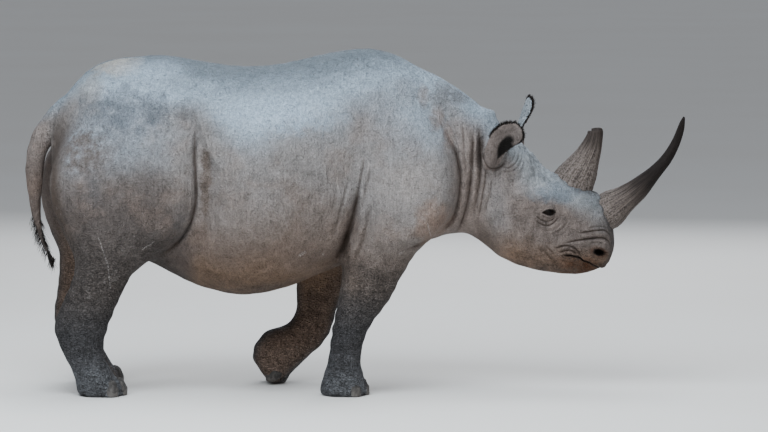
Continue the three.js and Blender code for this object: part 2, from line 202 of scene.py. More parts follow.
def piece_of(name, points, faces):
    """A smooth mesh object at the origin from an array of points and an array of faces."""
    mesh = bpy.data.meshes.new(name)
    count, corners = faces.shape
    mesh.vertices.add(len(points))
    mesh.vertices.foreach_set("co", np.asarray(points, np.float32).ravel())
    mesh.loops.add(count * corners)
    mesh.loops.foreach_set("vertex_index", np.asarray(faces, np.int32).ravel())
    mesh.polygons.add(count)
    mesh.polygons.foreach_set("loop_start", np.arange(0, count * corners, corners, dtype=np.int32))
    mesh.update(calc_edges=True)
    mesh.shade_smooth()
    piece = bpy.data.objects.new(name, mesh)
    bpy.context.collection.objects.link(piece)
    return piece


floor_corners = np.array([(-1, -1, 0), (1, -1, 0), (1, 1, 0), (-1, 1, 0)]) * FLOOR_REACH
floor = piece_of("floor", floor_corners + [0, 0, FLOOR_LEVEL], np.array([[0, 1, 2, 3]]))
plaster = Finish("plaster", roughness=0.85)
cloud = plaster.noise(plaster.place(), 0.6)
plaster.dress(floor, base_color=plaster.mix(cloud, FLOOR_PALE, FLOOR_WARM))


# ---- Lights ----
# Broad cool panels overhead, on the near side and on the far side, like an open sky, a weak warm one in
# front, and low down the soft warm light that bare ground gives back.
GROUND_LIGHT_WAY = (0.10, -1.0, 0.04)  # where it comes from
GROUND_LIGHT_SPREAD = math.radians(50)
SKY_TINT = (0.80, 0.84, 0.90, 1)


def panel(name, place, size, power, colour):
    """A rectangular lamp that faces the animal's middle."""
    light = bpy.data.lights.new(name, "AREA")
    light.shape, light.size, light.size_y = "RECTANGLE", *size
    light.energy, light.color = power, colour
    lamp = bpy.data.objects.new(name, light)
    lamp.location = place
    lamp.rotation_euler = (Vector(place) - Vector((0, 0, 0.8))).to_track_quat("Z", "Y").to_euler()
    bpy.context.collection.objects.link(lamp)


panel("sky_panel", (-1.6, -3.8, 5.0), (5, 4), 370, (0.88, 0.95, 1.0))
panel("top_panel", (0.4, 1.0, 6.2), (6, 4), 150, (0.93, 0.97, 1.0))
panel("front_panel", (3.8, -6.5, 2.2), (4, 3), 52, (1.0, 0.94, 0.86))
panel("back_panel", (1.0, 7.5, 4.0), (7, 4), 190, (0.95, 0.97, 1.0))
ground_light = bpy.data.lights.new("ground_light", "SUN")
ground_light.energy = 0.55
ground_light.color = (1.0, 0.86, 0.72)
ground_light.angle = GROUND_LIGHT_SPREAD
ground_lamp = bpy.data.objects.new("ground_light", ground_light)
ground_lamp.rotation_euler = Vector(GROUND_LIGHT_WAY).to_track_quat("Z", "Y").to_euler()
bpy.context.collection.objects.link(ground_lamp)
world = bpy.data.worlds.new("studio")
world.use_nodes = True
background = world.node_tree.nodes["Background"]
background.inputs["Color"].default_value = SKY_TINT
background.inputs["Strength"].default_value = 0.38
bpy.context.scene.world = world
bpy.context.scene.view_settings.look = "AgX - Medium High Contrast"


# ---- Hide ----
# One skin covers trunk, neck, head, ears, legs and tail with no seam: bare, thick and grey, deeply folded
# at neck, elbow and flank, dusty along the back. It is the smooth surface round the solids of flesh, then
# folded, and fitted round the eyes and nostrils.
VOXEL, WIDE_VOXEL, EAR_VOXEL = 0.005, 0.010, 0.002
FINE_WIDTH = 0.006
NEAR_WIDTH, NEAR_SLACK = 0.020, 0.008  # how far smoothing reaches, and how far it may shift the surface
BROAD_WIDTH, BROAD_SLACK = 0.060, 0.014
SKIN_TRIANGLES = 198_000
PULL_STEPS, PULL_MOST, PULL_SHARE = 4, 0.006, 0.9  # how the mesh is drawn onto the form, step by step
BROAD_LUMPS, SMALL_LUMPS, LEG_RINGS = 0.0015, 0.0009, 0.0016  # how far they move the hide
FLESH = ["trunk", "neck", "head", "tail", "eye_right", "eye_left"] + [
    f"{leg}_{length}"
    for leg in ("foreleg_right", "foreleg_left", "hindleg_right", "hindleg_left")
    for length in ("upper", "lower", "foot")
]


def ease(x, start, end):
    """A smooth step from 0 at start to 1 at end."""
    t = np.clip((x - start) / (end - start), 0, 1)
    return t * t * (3 - 2 * t)


def bell(x):
    """1 at zero, falling away on both sides like a bell."""
    return np.exp(-x * x)


def solid_of(node):
    """A CAD node's points, those that meet made one, and its triangles."""
    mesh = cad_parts[node].data
    corners = np.empty((len(mesh.vertices), 3), np.float32)
    mesh.vertices.foreach_get("co", corners.ravel())
    loops = np.empty(len(mesh.loops), np.int32)
    mesh.loops.foreach_get("vertex_index", loops)
    points, index = np.unique(np.round(corners, 5), axis=0, return_inverse=True)
    return points, index.ravel()[loops].reshape(-1, 3)


def outwards(points, faces):
    """The same surface with its faces turned outwards, whichever way they were wound."""
    a, b, c = (points[faces[:, k]] for k in range(3))
    volume = np.einsum("ij,ij->i", a, np.cross(b, c)).sum()
    return points, faces if volume > 0 else faces[:, ::-1]


def tube_faces(rows, columns):
    """Triangles between the points of a grid, row by row, closed round its columns."""
    r, c = np.mgrid[0:rows - 1, 0:columns]
    a, b = r * columns + c, r * columns + (c + 1) % columns
    quads = np.stack([corner.ravel() for corner in (a, b, b + columns, a + columns)], axis=1)
    return np.concatenate([quads[:, [0, 1, 2]], quads[:, [0, 2, 3]]])


class Field:
    """Distance to the skin on a grid of cubes, negative inside: the least of several solids' own."""

    def __init__(self, solids, voxel, reach, low, high):
        self.voxel = voxel
        self.start = np.floor(np.asarray(low) / voxel).astype(int) - reach
        shape = np.ceil(np.asarray(high) / voxel).astype(int) + reach - self.start
        self.values = np.full(shape, reach * voxel, np.float32)
        space = vdb.createLinearTransform(voxelSize=voxel)
        for points, faces in solids:
            grid = vdb.FloatGrid.createLevelSetFromPolygons(
                np.ascontiguousarray(points, np.float32), triangles=np.ascontiguousarray(faces, np.uint32),
                transform=space, halfWidth=float(reach),
            )
            first = np.floor(points.min(0) / voxel).astype(int) - reach - self.start
            last = np.ceil(points.max(0) / voxel).astype(int) + reach + 1 - self.start
            first, last = np.maximum(first, 0), np.minimum(last, shape)
            own = np.empty(last - first, np.float32)
            grid.copyToArray(own, ijk=tuple(int(i) for i in first + self.start))
            block = tuple(slice(a, b) for a, b in zip(first, last))
            self.values[block] = np.minimum(self.values[block], own)

    def blurred(self, width):
        """A copy smoothed by a bell of that width in metres, carried along each axis in turn."""
        sigma = width / self.voxel
        reach = math.ceil(2.6 * sigma)
        weights = bell(np.arange(-reach, reach + 1) / (sigma * math.sqrt(2))).astype(np.float32)
        weights /= weights.sum()
        values = self.values
        for axis in range(3):
            pad = [(reach, reach) if a == axis else (0, 0) for a in range(3)]
            wide = np.pad(values, pad, mode="edge")
            total, part = np.zeros_like(values), np.empty_like(values)
            for step, weight in enumerate(weights):
                span = [slice(None)] * 3
                span[axis] = slice(step, step + values.shape[axis])
                np.multiply(wide[tuple(span)], weight, out=part)
                total += part
            values = total
        return self.like(values)

    def smooth(self, width):
        """Blurred without the shrinking that a blur brings: twice the blur, less the blur's own blur."""
        once = self.blurred(width)
        return self.like(2 * once.values - once.blurred(width).values)

    def like(self, values):
        """The same grid with other values."""
        copy = object.__new__(Field)
        copy.voxel, copy.start, copy.values = self.voxel, self.start, values
        return copy

    def at(self, points):
        """Its value at each point, in straight lines between the eight corners of the cube round it."""
        spot = np.clip(points / self.voxel - self.start, 0, np.array(self.values.shape) - 1.001)
        cell = spot.astype(int)
        x, y, z = (spot - cell).T
        column = self.values.shape[2]
        sheet = self.values.shape[1] * column
        flat, first = self.values.ravel(), cell @ (sheet, column, 1)
        total = np.zeros(len(points))
        for ahead, share in ((0, 1 - x), (sheet, x)):
            for over, part in ((0, 1 - y), (column, y)):
                low = first + ahead + over
                total += share * part * (flat[low] * (1 - z) + flat[low + 1] * z)
        return total

    def surface(self):
        """Points and triangles of the surface where it is zero, its faces turned outwards."""
        grid = vdb.FloatGrid()
        grid.transform = vdb.createLinearTransform(voxelSize=self.voxel)
        grid.background = 3 * self.voxel
        near = np.clip(self.values, -3 * self.voxel, 3 * self.voxel).astype(np.float32)
        grid.copyFromArray(near, ijk=tuple(int(i) for i in self.start), tolerance=1e-5)
        points, quads = grid.convertToQuads(isovalue=0)
        quads = quads.astype(int)
        return outwards(points.astype(float), np.concatenate([quads[:, [0, 1, 2]], quads[:, [0, 2, 3]]]))


def outward(points, faces):
    """Unit normals of the points: the cross products of the faces round each, added up."""
    a, b, c = (points[faces[:, k]] for k in range(3))
    cross = np.cross(b - a, c - a)
    total = np.stack([
        sum(np.bincount(faces[:, k], cross[:, axis], len(points)) for k in range(3)) for axis in range(3)
    ], axis=1)
    return total / np.maximum(np.linalg.norm(total, axis=1, keepdims=True), 1e-12)


def refined(points, faces, wanted):
    """Halves each edge between two wanted points, so that triangles wanted whole become four and their
    neighbours two, and the surface stays closed."""
    ends = np.sort(faces[:, [0, 1, 1, 2, 2, 0]].reshape(-1, 2), axis=1)
    keys, index = np.unique(ends[:, 0] * len(points) + ends[:, 1], return_inverse=True)
    first, second = keys // len(points), keys % len(points)
    cut = wanted[first] & wanted[second]
    middle = np.full(len(keys), -1)
    middle[cut] = len(points) + np.arange(cut.sum())
    more = np.concatenate([points, (points[first[cut]] + points[second[cut]]) / 2])
    halves = middle[index.ravel()].reshape(-1, 3)
    count = (halves >= 0).sum(1)
    whole, three = faces[count == 3], halves[count == 3]
    parts = [faces[count == 0], three]
    parts += [np.stack([whole[:, k], three[:, k], three[:, k - 1]], axis=1) for k in range(3)]
    for k in range(3):
        one = (count == 1) & (halves[:, k] >= 0)
        a, b, c = (faces[one, (k + step) % 3] for step in range(3))
        half = halves[one, k]
        parts += [np.stack([a, half, c], axis=1), np.stack([half, b, c], axis=1)]
    return more, np.concatenate(parts)


# The head's own frame: forward, left and height, from the point midway between the eyes. The head is
# turned a little to the animal's right.
eye_centres = {side: np.mean(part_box("eye_" + side), axis=0) for side in ("right", "left")}
between_eyes = (eye_centres["right"] + eye_centres["left"]) / 2
head_left = eye_centres["left"] - eye_centres["right"]
head_left /= np.linalg.norm(head_left)
UP = np.array([0.0, 0.0, 1.0])
head_ahead = np.cross(head_left, UP)
SIDES = {"right": -1, "left": 1}


def in_head(points):
    """Forward and left of the middle between the eyes, and the height above the floor."""
    offset = points - between_eyes
    return np.stack([offset @ head_ahead, offset @ head_left, points[:, 2]], axis=1)


def from_head(points):
    """The other way round: from forward, left and height to the common frame."""
    points = np.asarray(points, float)
    level = between_eyes * [1, 1, 0]
    return level + points[..., :1] * head_ahead + points[..., 1:2] * head_left + points[..., 2:] * UP


eye_spots = {side: in_head(eye_centres[side][None])[0] for side in SIDES}


# The ears: a leaf rolled into a deep cup, on a short stem. Along the leaf u runs from root to tip, and
# across it v runs from the rear edge at -1 to the front edge at 1.
EAR_LENGTH = 0.272
EAR_REAR, EAR_FRONT, EAR_TUCK = 0.086, 0.068, 0.014
EAR_CURL = 0.022  # how far the tip bends forward
EAR_CUP_DEEP, EAR_CUP_LESS = 0.062, 0.036  # the hollow's depth at the root, and how much less at the tip
EAR_CUP_WIDE, EAR_CUP_MORE = 0.026, 0.036  # its width at the root, and how much more at the tip
EAR_THICK_ROOT, EAR_THICK_RIM = 0.014, 0.008
EAR_STEM_AT, EAR_STEM_RADII = (-0.006, -0.040, 0.066), (0.046, 0.040, 0.062)
EARS = {
    "right": {"root": (0.312, 0.837, 0.027), "axis": (0.341, -0.443, 0.83), "face": (0.135, -0.993, 0)},
    "left": {"root": (0.404, 0.247, 0.028), "axis": (0.218, 0.134, 0.95), "face": (0.942, 0.287, 0)},
}


def ear_frame(side):
    """The ear's root, and its front, opening and upward directions."""
    low, high = (np.array(corner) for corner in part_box("ear_" + side))
    ear = EARS[side]
    up = np.array(ear["axis"]) / np.linalg.norm(ear["axis"])
    face = np.array(ear["face"]) - up * np.dot(ear["face"], up)
    face /= np.linalg.norm(face)
    front = np.cross(up, face) * -SIDES[side]
    return low + (high - low) * ear["root"], np.stack([front, face, up])


def ear_hollow(u):
    """How deep the leaf's hollow is, and how wide: each changes smoothly from root to tip."""
    return EAR_CUP_DEEP - EAR_CUP_LESS * ease(u, 0.1, 0.75), EAR_CUP_WIDE + EAR_CUP_MORE * ease(u, 0.1, 0.8)


def ear_leaf(u, v):
    """A point of the leaf in the ear's own frame: its width narrows to both ends, and across it runs a
    hollow of bell-shaped section, deep and narrow at the root and shallow near the tip."""
    low = np.sqrt(1 - (1 - np.minimum(1, (u + 0.004) / 0.30)) ** 2)
    high = np.sqrt(np.maximum(0.004, 1 - np.maximum(0, (u - 0.45) / 0.55) ** 3))
    front = EAR_TUCK + (EAR_FRONT - EAR_TUCK) * ease(u, 0.35, 0.85)
    width = np.where(v < 0, EAR_REAR, front) * low * high
    depth, reach = ear_hollow(u)
    hollow = bell(v * width / reach)
    return np.stack([v * width, depth * (1 - hollow) + EAR_CURL * u * u, u * EAR_LENGTH], axis=-1)


def shell_of(front, back):
    """A closed solid from two grids of points that face each other, joined round their edges."""
    rows, columns = front.shape[:2]
    ring = np.concatenate([front, back[:, ::-1]], axis=1)
    count = 2 * columns
    faces = [tube_faces(rows, count)]
    for row, order in ((0, (0, 2, 1)), (rows - 1, (0, 1, 2))):
        k = np.arange(columns - 1)
        a, b = row * count + k, row * count + k + 1
        c, d = row * count + count - 2 - k, row * count + count - 1 - k
        faces += [np.stack([a, b, c], 1)[:, order], np.stack([a, c, d], 1)[:, order]]
    return ring.reshape(-1, 3), np.concatenate(faces)


def ball_of(centre, radii, around=24, up=16):
    """An oval ball: rings of points from pole to pole, the poles included in them."""
    lat, lon = np.meshgrid(np.linspace(-math.pi / 2, math.pi / 2, up),
                           np.arange(around) * 2 * math.pi / around, indexing="ij")
    unit = np.stack([np.cos(lat) * np.cos(lon), np.cos(lat) * np.sin(lon), np.sin(lat)], axis=-1)
    return (np.asarray(centre) + unit * radii).reshape(-1, 3), tube_faces(up, around)


def ear_solids(side):
    """The leaf, thinner towards its rim, and the oval stem under it."""
    root, frame_of_ear = ear_frame(side)
    u, v = np.meshgrid(np.linspace(0, 1, 60), np.linspace(-1, 1, 60), indexing="ij")
    middle = ear_leaf(u, v)
    along = np.gradient(middle, axis=0)
    sideways = np.gradient(middle, axis=1)
    normal = np.cross(along, sideways)
    normal /= np.maximum(np.linalg.norm(normal, axis=-1, keepdims=True), 1e-9)
    rim = np.maximum(np.abs(v) ** 3, u ** 4)[..., None]
    half = (EAR_THICK_ROOT + (EAR_THICK_RIM - EAR_THICK_ROOT) * rim) / 2
    leaf = shell_of(middle + normal * half, middle - normal * half)
    stem = ball_of(EAR_STEM_AT, EAR_STEM_RADII)
    return [outwards(root + points @ frame_of_ear, faces) for points, faces in (leaf, stem)]


def joined(a, b, width):
    """The lesser of two distances, rounded where they are closer than a width."""
    near = np.maximum(width - np.abs(a - b), 0) / width
    return np.minimum(a, b) - near * near * width / 4


# The fields: the flesh smoothed a little, the same smoothed more and most, and the tail by itself.
flesh = [solid_of(node) for node in FLESH]
skin_field = Field(flesh, VOXEL, 8, box_low, box_high).blurred(FINE_WIDTH)
wide_field = Field(flesh, WIDE_VOXEL, 14, box_low, box_high)
near_field = wide_field.smooth(NEAR_WIDTH)
broad_field = wide_field.smooth(BROAD_WIDTH)
tail_field = Field([solid_of("tail")], WIDE_VOXEL, 8, *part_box("tail"))
# Round each nail the hide swells into a bed, from which only the nail's own thickness stands out.
NAIL_BED, NAIL_FILLET = 0.0055, 0.020
NAILS = [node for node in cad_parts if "_nail_" in node]
nail_field = Field([solid_of(node) for node in NAILS], VOXEL, 8, box_low, box_high)
skin_field.values = joined(skin_field.values, nail_field.values + NAIL_BED, NAIL_FILLET)
ear_fields = {}
EAR_FILLET = 0.014
for side in SIDES:
    solids = ear_solids(side)
    low = np.min([points.min(0) for points, faces in solids], axis=0)
    high = np.max([points.max(0) for points, faces in solids], axis=0)
    ear_fields[side] = Field(solids, EAR_VOXEL, 12, low, high).blurred(EAR_VOXEL)
    rough = Field(solids, VOXEL, 5, low, high)
    corner = rough.start - skin_field.start
    block = tuple(slice(a, a + n) for a, n in zip(corner, rough.values.shape))
    skin_field.values[block] = joined(skin_field.values[block], rough.values, EAR_FILLET)


def broad_share(points):
    """Where the long smooth forms are: the trunk, hips, shoulders and neck, a little on the legs, but
    not the head, the feet or the tail."""
    x, z = points[:, 0], points[:, 2]
    share = (0.80 * ease(z, 0.10, 0.22) + 0.20 * ease(z, 0.56, 0.72)) * (1 - ease(x, 0.46, 0.62))
    return share * ease(tail_field.at(points), 0.005, 0.05)


def skin_distance(points):
    """How far each point is outside the finished bare form."""
    fine = skin_field.at(points)
    steady = ease(nail_field.at(points), 0.004, 0.030)
    near = fine + steady * NEAR_SLACK * np.tanh((near_field.at(points) - fine) / NEAR_SLACK)
    form = near + BROAD_SLACK * broad_share(points) * np.tanh((broad_field.at(points) - near) / BROAD_SLACK)
    for side in SIDES:
        ear = ear_fields[side]
        low, high = ear.start * ear.voxel, (ear.start + ear.values.shape) * ear.voxel
        here = np.all((points > low + 0.004) & (points < high - 0.004), axis=1)
        form[here] = joined(form[here], ear.at(points[here]), EAR_FILLET)
    return form


def curve_through(corners, steps=6):
    """A smooth curve through given corners: between each two, a cubic that leaves along the line
    joining the corners on either side."""
    corners = np.asarray(corners, float)
    padded = np.concatenate([2 * corners[:1] - corners[1:2], corners, 2 * corners[-1:] - corners[-2:-1]])
    t = (np.arange(steps) / steps)[:, None]
    before, a, b, after = (padded[k:len(corners) - 1 + k, None] for k in range(4))
    curve = 0.5 * (2 * a + (b - before) * t + (2 * before - 5 * a + 4 * b - after) * t ** 2
                   + (3 * a - before - 3 * b + after) * t ** 3)
    return np.concatenate([curve.reshape(-1, corners.shape[1]), corners[-1:]])


def beside(across, height, path):
    """How far each point of a plane lies beside a curve, positive to the left of the way it runs, and
    how far along the curve the nearest place is, from 0 to 1."""
    curve = curve_through(path)
    gap, reach, share = np.full(len(across), np.inf), np.zeros(len(across)), np.zeros(len(across))
    spans = np.hypot(*np.diff(curve, axis=0).T)
    run = np.concatenate([[0], np.cumsum(spans)]) / spans.sum()
    for k, (start, step) in enumerate(zip(curve, np.diff(curve, axis=0))):
        t = np.clip(((across - start[0]) * step[0] + (height - start[1]) * step[1]) / (step @ step), 0, 1)
        right, over = across - start[0] - t * step[0], height - start[1] - t * step[1]
        far = np.hypot(right, over)
        closer = far < gap
        gap[closer] = far[closer]
        reach[closer] = (far * np.sign(over * step[0] - right * step[1]))[closer]
        share[closer] = (run[k] + t * (run[k + 1] - run[k]))[closer]
    return reach, share


# Folds of the body, on both sides, in millimetres: how deep and how wide the crease is, how far the hide
# swells behind it and ahead of it, how far those swells reach, and the crease's path as X and Z. A fold
# with a negative depth is a ridge.
FOLDS = [
    # behind the head, where the neck's skin hangs over the throat
    (28, 11, 18, 7, 50, [(385, 1270), (442, 1171), (465, 1125), (483, 1056), (488, 987), (484, 917),
     (475, 870), (461, 822), (443, 789), (410, 760), (370, 737), (327, 709), (285, 692), (235, 678),
     (180, 670)]),
    (10, 35, 5, 5, 50, [(270, 1420), (330, 1350), (385, 1280), (440, 1200), (470, 1130)]),
    (19, 9, 12, 0, 26, [(552, 1240), (550, 1168), (545, 1078), (540, 1010), (531, 930), (518, 860),
     (500, 797), (478, 745), (440, 710)]),
    (12, 9, 3, 2, 16, [(580, 1250), (578, 1180), (583, 1100), (584, 1030), (576, 960), (560, 870),
     (548, 800)]),
    (7, 5, 2, 2, 11, [(612, 1080), (606, 1000), (594, 920), (580, 840), (565, 790)]),
    (5, 5, 1.5, 1.5, 10, [(640, 1000), (628, 930), (610, 860), (596, 810)]),
    (6, 6, 3, 2, 11, [(498, 1262), (506, 1180), (508, 1100), (516, 1040), (523, 985)]),
    (5, 6, 2, 2, 10, [(380, 1330), (415, 1270), (450, 1210), (476, 1148), (492, 1090)]),
    (4, 5, 2, 1, 10, [(425, 1310), (458, 1240), (484, 1170), (500, 1100), (506, 1020)]),
    # behind the elbow
    (7, 6, 3, 3, 16, [(52, 1120), (45, 1060), (30, 990), (18, 920), (6, 860)]),
    (30, 14, 12, 6, 40, [(26, 965), (14, 900), (0, 840), (-18, 775), (-42, 705), (-72, 635), (-100, 585)]),
    (14, 22, 4, 4, 40, [(10, 840), (-8, 760), (-36, 690), (-70, 620)]),
    (6, 7, 3, 2, 16, [(85, 1060), (66, 985), (47, 910), (36, 850)]),
    (3, 6, 1.5, 1, 13, [(103, 1066), (89, 999), (71, 921), (66, 860)]),
    (11, 13, 10, -2, 22, [(78, 900), (72, 840), (60, 780), (43, 715), (18, 650), (-8, 600)]),
    (6, 7, 2, 3, 15, [(-18, 1010), (-40, 930), (-58, 860), (-80, 780), (-110, 715)]),
    (3, 6, 1, 1, 12, [(-70, 1040), (-79, 956), (-84, 896), (-100, 830)]),
    # under the muscle of the upper arm
    (3, 20, -6, 11, 34, [(48, 720), (126, 668), (199, 664), (267, 695), (327, 741)]),
    # ahead of the thigh, where the flank's skin is slung between belly and knee
    (22, 9, 21, -10, 48, [(-716, 1280), (-722, 1190), (-724, 1100), (-717, 954), (-722, 885), (-746, 792),
     (-793, 720), (-865, 655), (-935, 606)]),
    (-10, 16, -12, -4, 32, [(-735, 1400), (-712, 1310), (-690, 1230), (-657, 1142), (-620, 1070),
     (-570, 1005)]),
    (12, 45, 0, 4, 60, [(-675, 990), (-667, 880), (-682, 790), (-712, 700), (-760, 630)]),
    # over the point of the hip
    (-9, 20, 0, -5, 30, [(-880, 1470), (-830, 1435), (-770, 1410), (-720, 1350)]),
    # behind the thigh, over the hamstring
    (4, 25, 3, 3, 40, [(-1235, 1120), (-1205, 1000), (-1195, 880), (-1185, 780)]),
    # round the knee and the hock
    (6, 14, 2, 3, 20, [(-1050, 555), (-1020, 520), (-1000, 470)]),
    (5, 10, 2, 2, 14, [(-1300, 470), (-1250, 440), (-1190, 430)]),
]
# Folds of the head in the same way, their paths as forward and Z in the head's own frame.
HEAD_FOLDS = [
    # two bags under the eye, and lines that spread from its corners
    (5.5, 3.2, 2, 1, 6, [(-52, 830), (-35, 809), (-6, 797), (20, 803), (40, 822)]),
    (6, 3.6, 2.4, 1, 7, [(-60, 815), (-36, 789), (-1, 777), (24, 786), (44, 806), (64, 822)]),
    (2.9, 4, 1, 1, 8, [(-66, 792), (-36, 763), (4, 752), (40, 766), (72, 796)]),
    (3.4, 4, 1, 1, 8, [(12, 738), (46, 748), (74, 770), (94, 800)]),
    (2.6, 4, 1, 1, 8, [(34, 722), (66, 736), (94, 762)]),
    (5.9, 12, 1, 2, 18, [(-60, 872), (-20, 893), (25, 898), (64, 884)]),
    (2.6, 3.5, 1, 1, 6, [(-62, 848), (-86, 856), (-110, 858)]),
    # over the muzzle and round the nostril
    (8.4, 4.5, 4, 2, 11, [(130, 738), (179, 746), (229, 753), (265, 750), (286, 722)]),
    (3.9, 4, 1.5, 1, 8, [(175, 762), (215, 769), (252, 770), (280, 755)]),
    (5.2, 5, 2, 1, 10, [(240, 885), (250, 845), (268, 812), (288, 785)]),
    (10.1, 4.5, 5.5, 2, 11, [(60, 688), (110, 702), (170, 712), (235, 719), (264, 713), (281, 694),
     (285, 655)]),
    (3.9, 4, 1, 1, 8, [(190, 692), (225, 700), (258, 694)]),
    # at the corner of the mouth and over the cheek
    (10.1, 4.5, 3, 2, 10, [(30, 668), (71, 682), (102, 680), (129, 666), (161, 626)]),
    (9.2, 4, 2.5, 1, 9, [(50, 650), (88, 662), (116, 657), (140, 636)]),
    (6.2, 6, 2, 2, 12, [(-40, 682), (0, 640), (40, 594)]),
    (4.6, 5, 1, 1, 10, [(-12, 690), (20, 655), (48, 622)]),
    (3.9, 5, 1, 1, 10, [(50, 618), (90, 606), (130, 592)]),
    # round the foot of the ear's lobe, behind the ear, the ridge from ear to eye, and the folds below
    # the ear's root
    (11, 7, 0, 3, 14, [(-290, 1150), (-288, 1108), (-273, 1060), (-244, 1038), (-211, 1052), (-194, 1086)]),
    (13, 14, 5, 0, 30, [(-285, 1200), (-308, 1135), (-304, 1064), (-272, 1010), (-230, 985)]),
    (-7, 12, -4, -3, 22, [(-112, 1130), (-100, 1085), (-92, 1040), (-94, 995), (-112, 945)]),
    (3.9, 5, 1, 1, 10, [(-70, 1040), (-58, 995), (-52, 950)]),
    (2.9, 6, 1, 1, 12, [(-150, 900), (-135, 840), (-140, 780), (-125, 720)]),
    (5.2, 4.5, 2, 2, 9, [(-143, 1126), (-137, 1095), (-149, 1063), (-175, 1044), (-209, 1041)]),
    (4.6, 4.5, 2, 2, 9, [(-126, 1110), (-125, 1073), (-142, 1041), (-175, 1025), (-220, 1025)]),
    (3.9, 4, 1.5, 1.5, 8, [(-158, 1127), (-155, 1096), (-171, 1069), (-192, 1058)]),
    (2.6, 4.5, 1, 1, 9, [(-110, 1075), (-114, 1040), (-135, 1015), (-170, 1003)]),
]


def folded(across, height, facing, folds):
    """How far folds move the hide out, and how deep in a steep crease each point is, from 0 to 1. A fold's
    section is a bell-shaped crease between two bell-shaped swells, and it dies away at both ends."""
    push, shade = np.zeros(len(across)), np.zeros(len(across))
    for *sizes, path in folds:
        depth, width, behind, ahead, swell = np.array(sizes) / 1000
        path = np.array(path) / 1000
        low, high = path.min(0) - 3 * max(width, swell), path.max(0) + 3 * max(width, swell)
        near = (across > low[0]) & (across < high[0]) & (facing > 0)
        near &= (height > low[1]) & (height < high[1])
        reach, share = beside(across[near], height[near], path)
        fade = ease(share, 0, 0.22) * ease(1 - share, 0, 0.22) * facing[near]
        push[near] += fade * (behind * bell((reach + 1.3 * swell) / swell)
                              + ahead * bell((reach - 1.3 * swell) / swell)
                              - depth * bell(reach / width))
        steep = ease(depth / width, 0.4, 1.6)
        shade[near] = np.maximum(shade[near], steep * fade * bell(reach / (0.5 * width)))
    return push, shade


def broad_normals(points):
    """The directions in which the smoothed form faces, which no crease disturbs."""
    step = 0.01
    ways = [broad_field.at(points + step * way) - broad_field.at(points - step * way) for way in np.eye(3)]
    slope = np.stack(ways, axis=1)
    return slope / np.maximum(np.linalg.norm(slope, axis=1, keepdims=True), 1e-9)


def all_folds(points, facing):
    """The folds of body and head on both sides: how they move the hide, straight out from its side so
    that a crease never crosses itself, and how deep in a crease each point is."""
    move, shade = np.zeros(points.shape), np.zeros(len(points))
    head = in_head(points)
    for side in SIDES.values():
        body_side = ease(side * facing[:, 1], 0.05, 0.4) * (side * points[:, 1] > 0.02)
        head_side = ease(side * (facing @ head_left), 0.02, 0.3)
        on_body = folded(points[:, 0], points[:, 2], body_side, FOLDS)
        on_head = folded(head[:, 0], head[:, 2], head_side, HEAD_FOLDS)
        for way, (push, deep) in (((0, side, 0), on_body), (side * head_left, on_head)):
            move += push[:, None] * way
            shade = np.maximum(shade, deep)
    return move, shade


def lumps(points, length, seed, count=10):
    """Soft unevenness about a length across: sine waves that run in random directions, added up."""
    random = np.random.default_rng(seed)
    total = np.zeros(len(points))
    for _ in range(count):
        way = random.normal(size=3)
        way *= random.uniform(0.7, 1.4) / np.linalg.norm(way)
        total += np.sin(points @ way * (2 * math.pi / length) + random.uniform(0, 2 * math.pi))
    return total / math.sqrt(count)


# The eyelids. Each eye looks outwards and a little forwards, as its socket does, and its opening is a
# flat almond. The lids lie on the ball, and in the opening the hide passes behind it.
EYE_RADIUS = 0.031
EYE_LOOK = np.array([0.38, 0.91, 0.13]) / np.linalg.norm([0.38, 0.91, 0.13])  # forward, outward, up
LID_WIDE, LID_UPPER, LID_LOWER = 0.0300, 0.0108, 0.0132  # half the opening, and its two heights
LID_THICK, LID_RISE, LID_SOFT = 0.0040, -0.002, 0.0026
LID_ROLL, LID_ROLL_AT, LID_ROLL_WIDE = 0.0012, 0.0040, 0.0030  # the raised edge along the opening
LID_GROOVE, LID_GROOVE_AT, LID_GROOVE_WIDE = 0.0022, 0.0105, 0.0026  # the groove round that edge
LID_END, LID_FALL = 0.013, 0.35  # where the lid ends, and how steeply it lets the cheek take over
BEHIND_BALL = 0.006  # how far inside the ball's surface the hide passes
eye_ahead = np.array([EYE_LOOK[1], -EYE_LOOK[0], 0]) / np.hypot(*EYE_LOOK[:2])
eye_up = np.cross(eye_ahead, EYE_LOOK) * -1
eye_up *= np.sign(eye_up[2])


def eye_places(points, side):
    """Each point as seen from the eyeball's centre: its distance, how far outside the opening it is
    (negative within), and whether it is on the outer side."""
    offset = (in_head(points) - eye_spots[side]) * [1, SIDES[side], 1]
    reach = np.linalg.norm(offset, axis=1)
    way = offset / reach[:, None]
    spread = np.maximum(reach, EYE_RADIUS)
    ahead, rise = spread * (way @ eye_ahead), spread * (way @ eye_up) - LID_RISE
    share = np.minimum(np.abs(ahead) / LID_WIDE, 1)
    tall = np.where(rise > 0, LID_UPPER, LID_LOWER) * (1 - share ** 2)
    past = np.maximum(np.abs(ahead) - LID_WIDE, 0)
    margin = np.where(past > 0, np.hypot(past, rise), np.abs(rise) - tall)
    return offset, reach, margin, way @ EYE_LOOK > 0.1


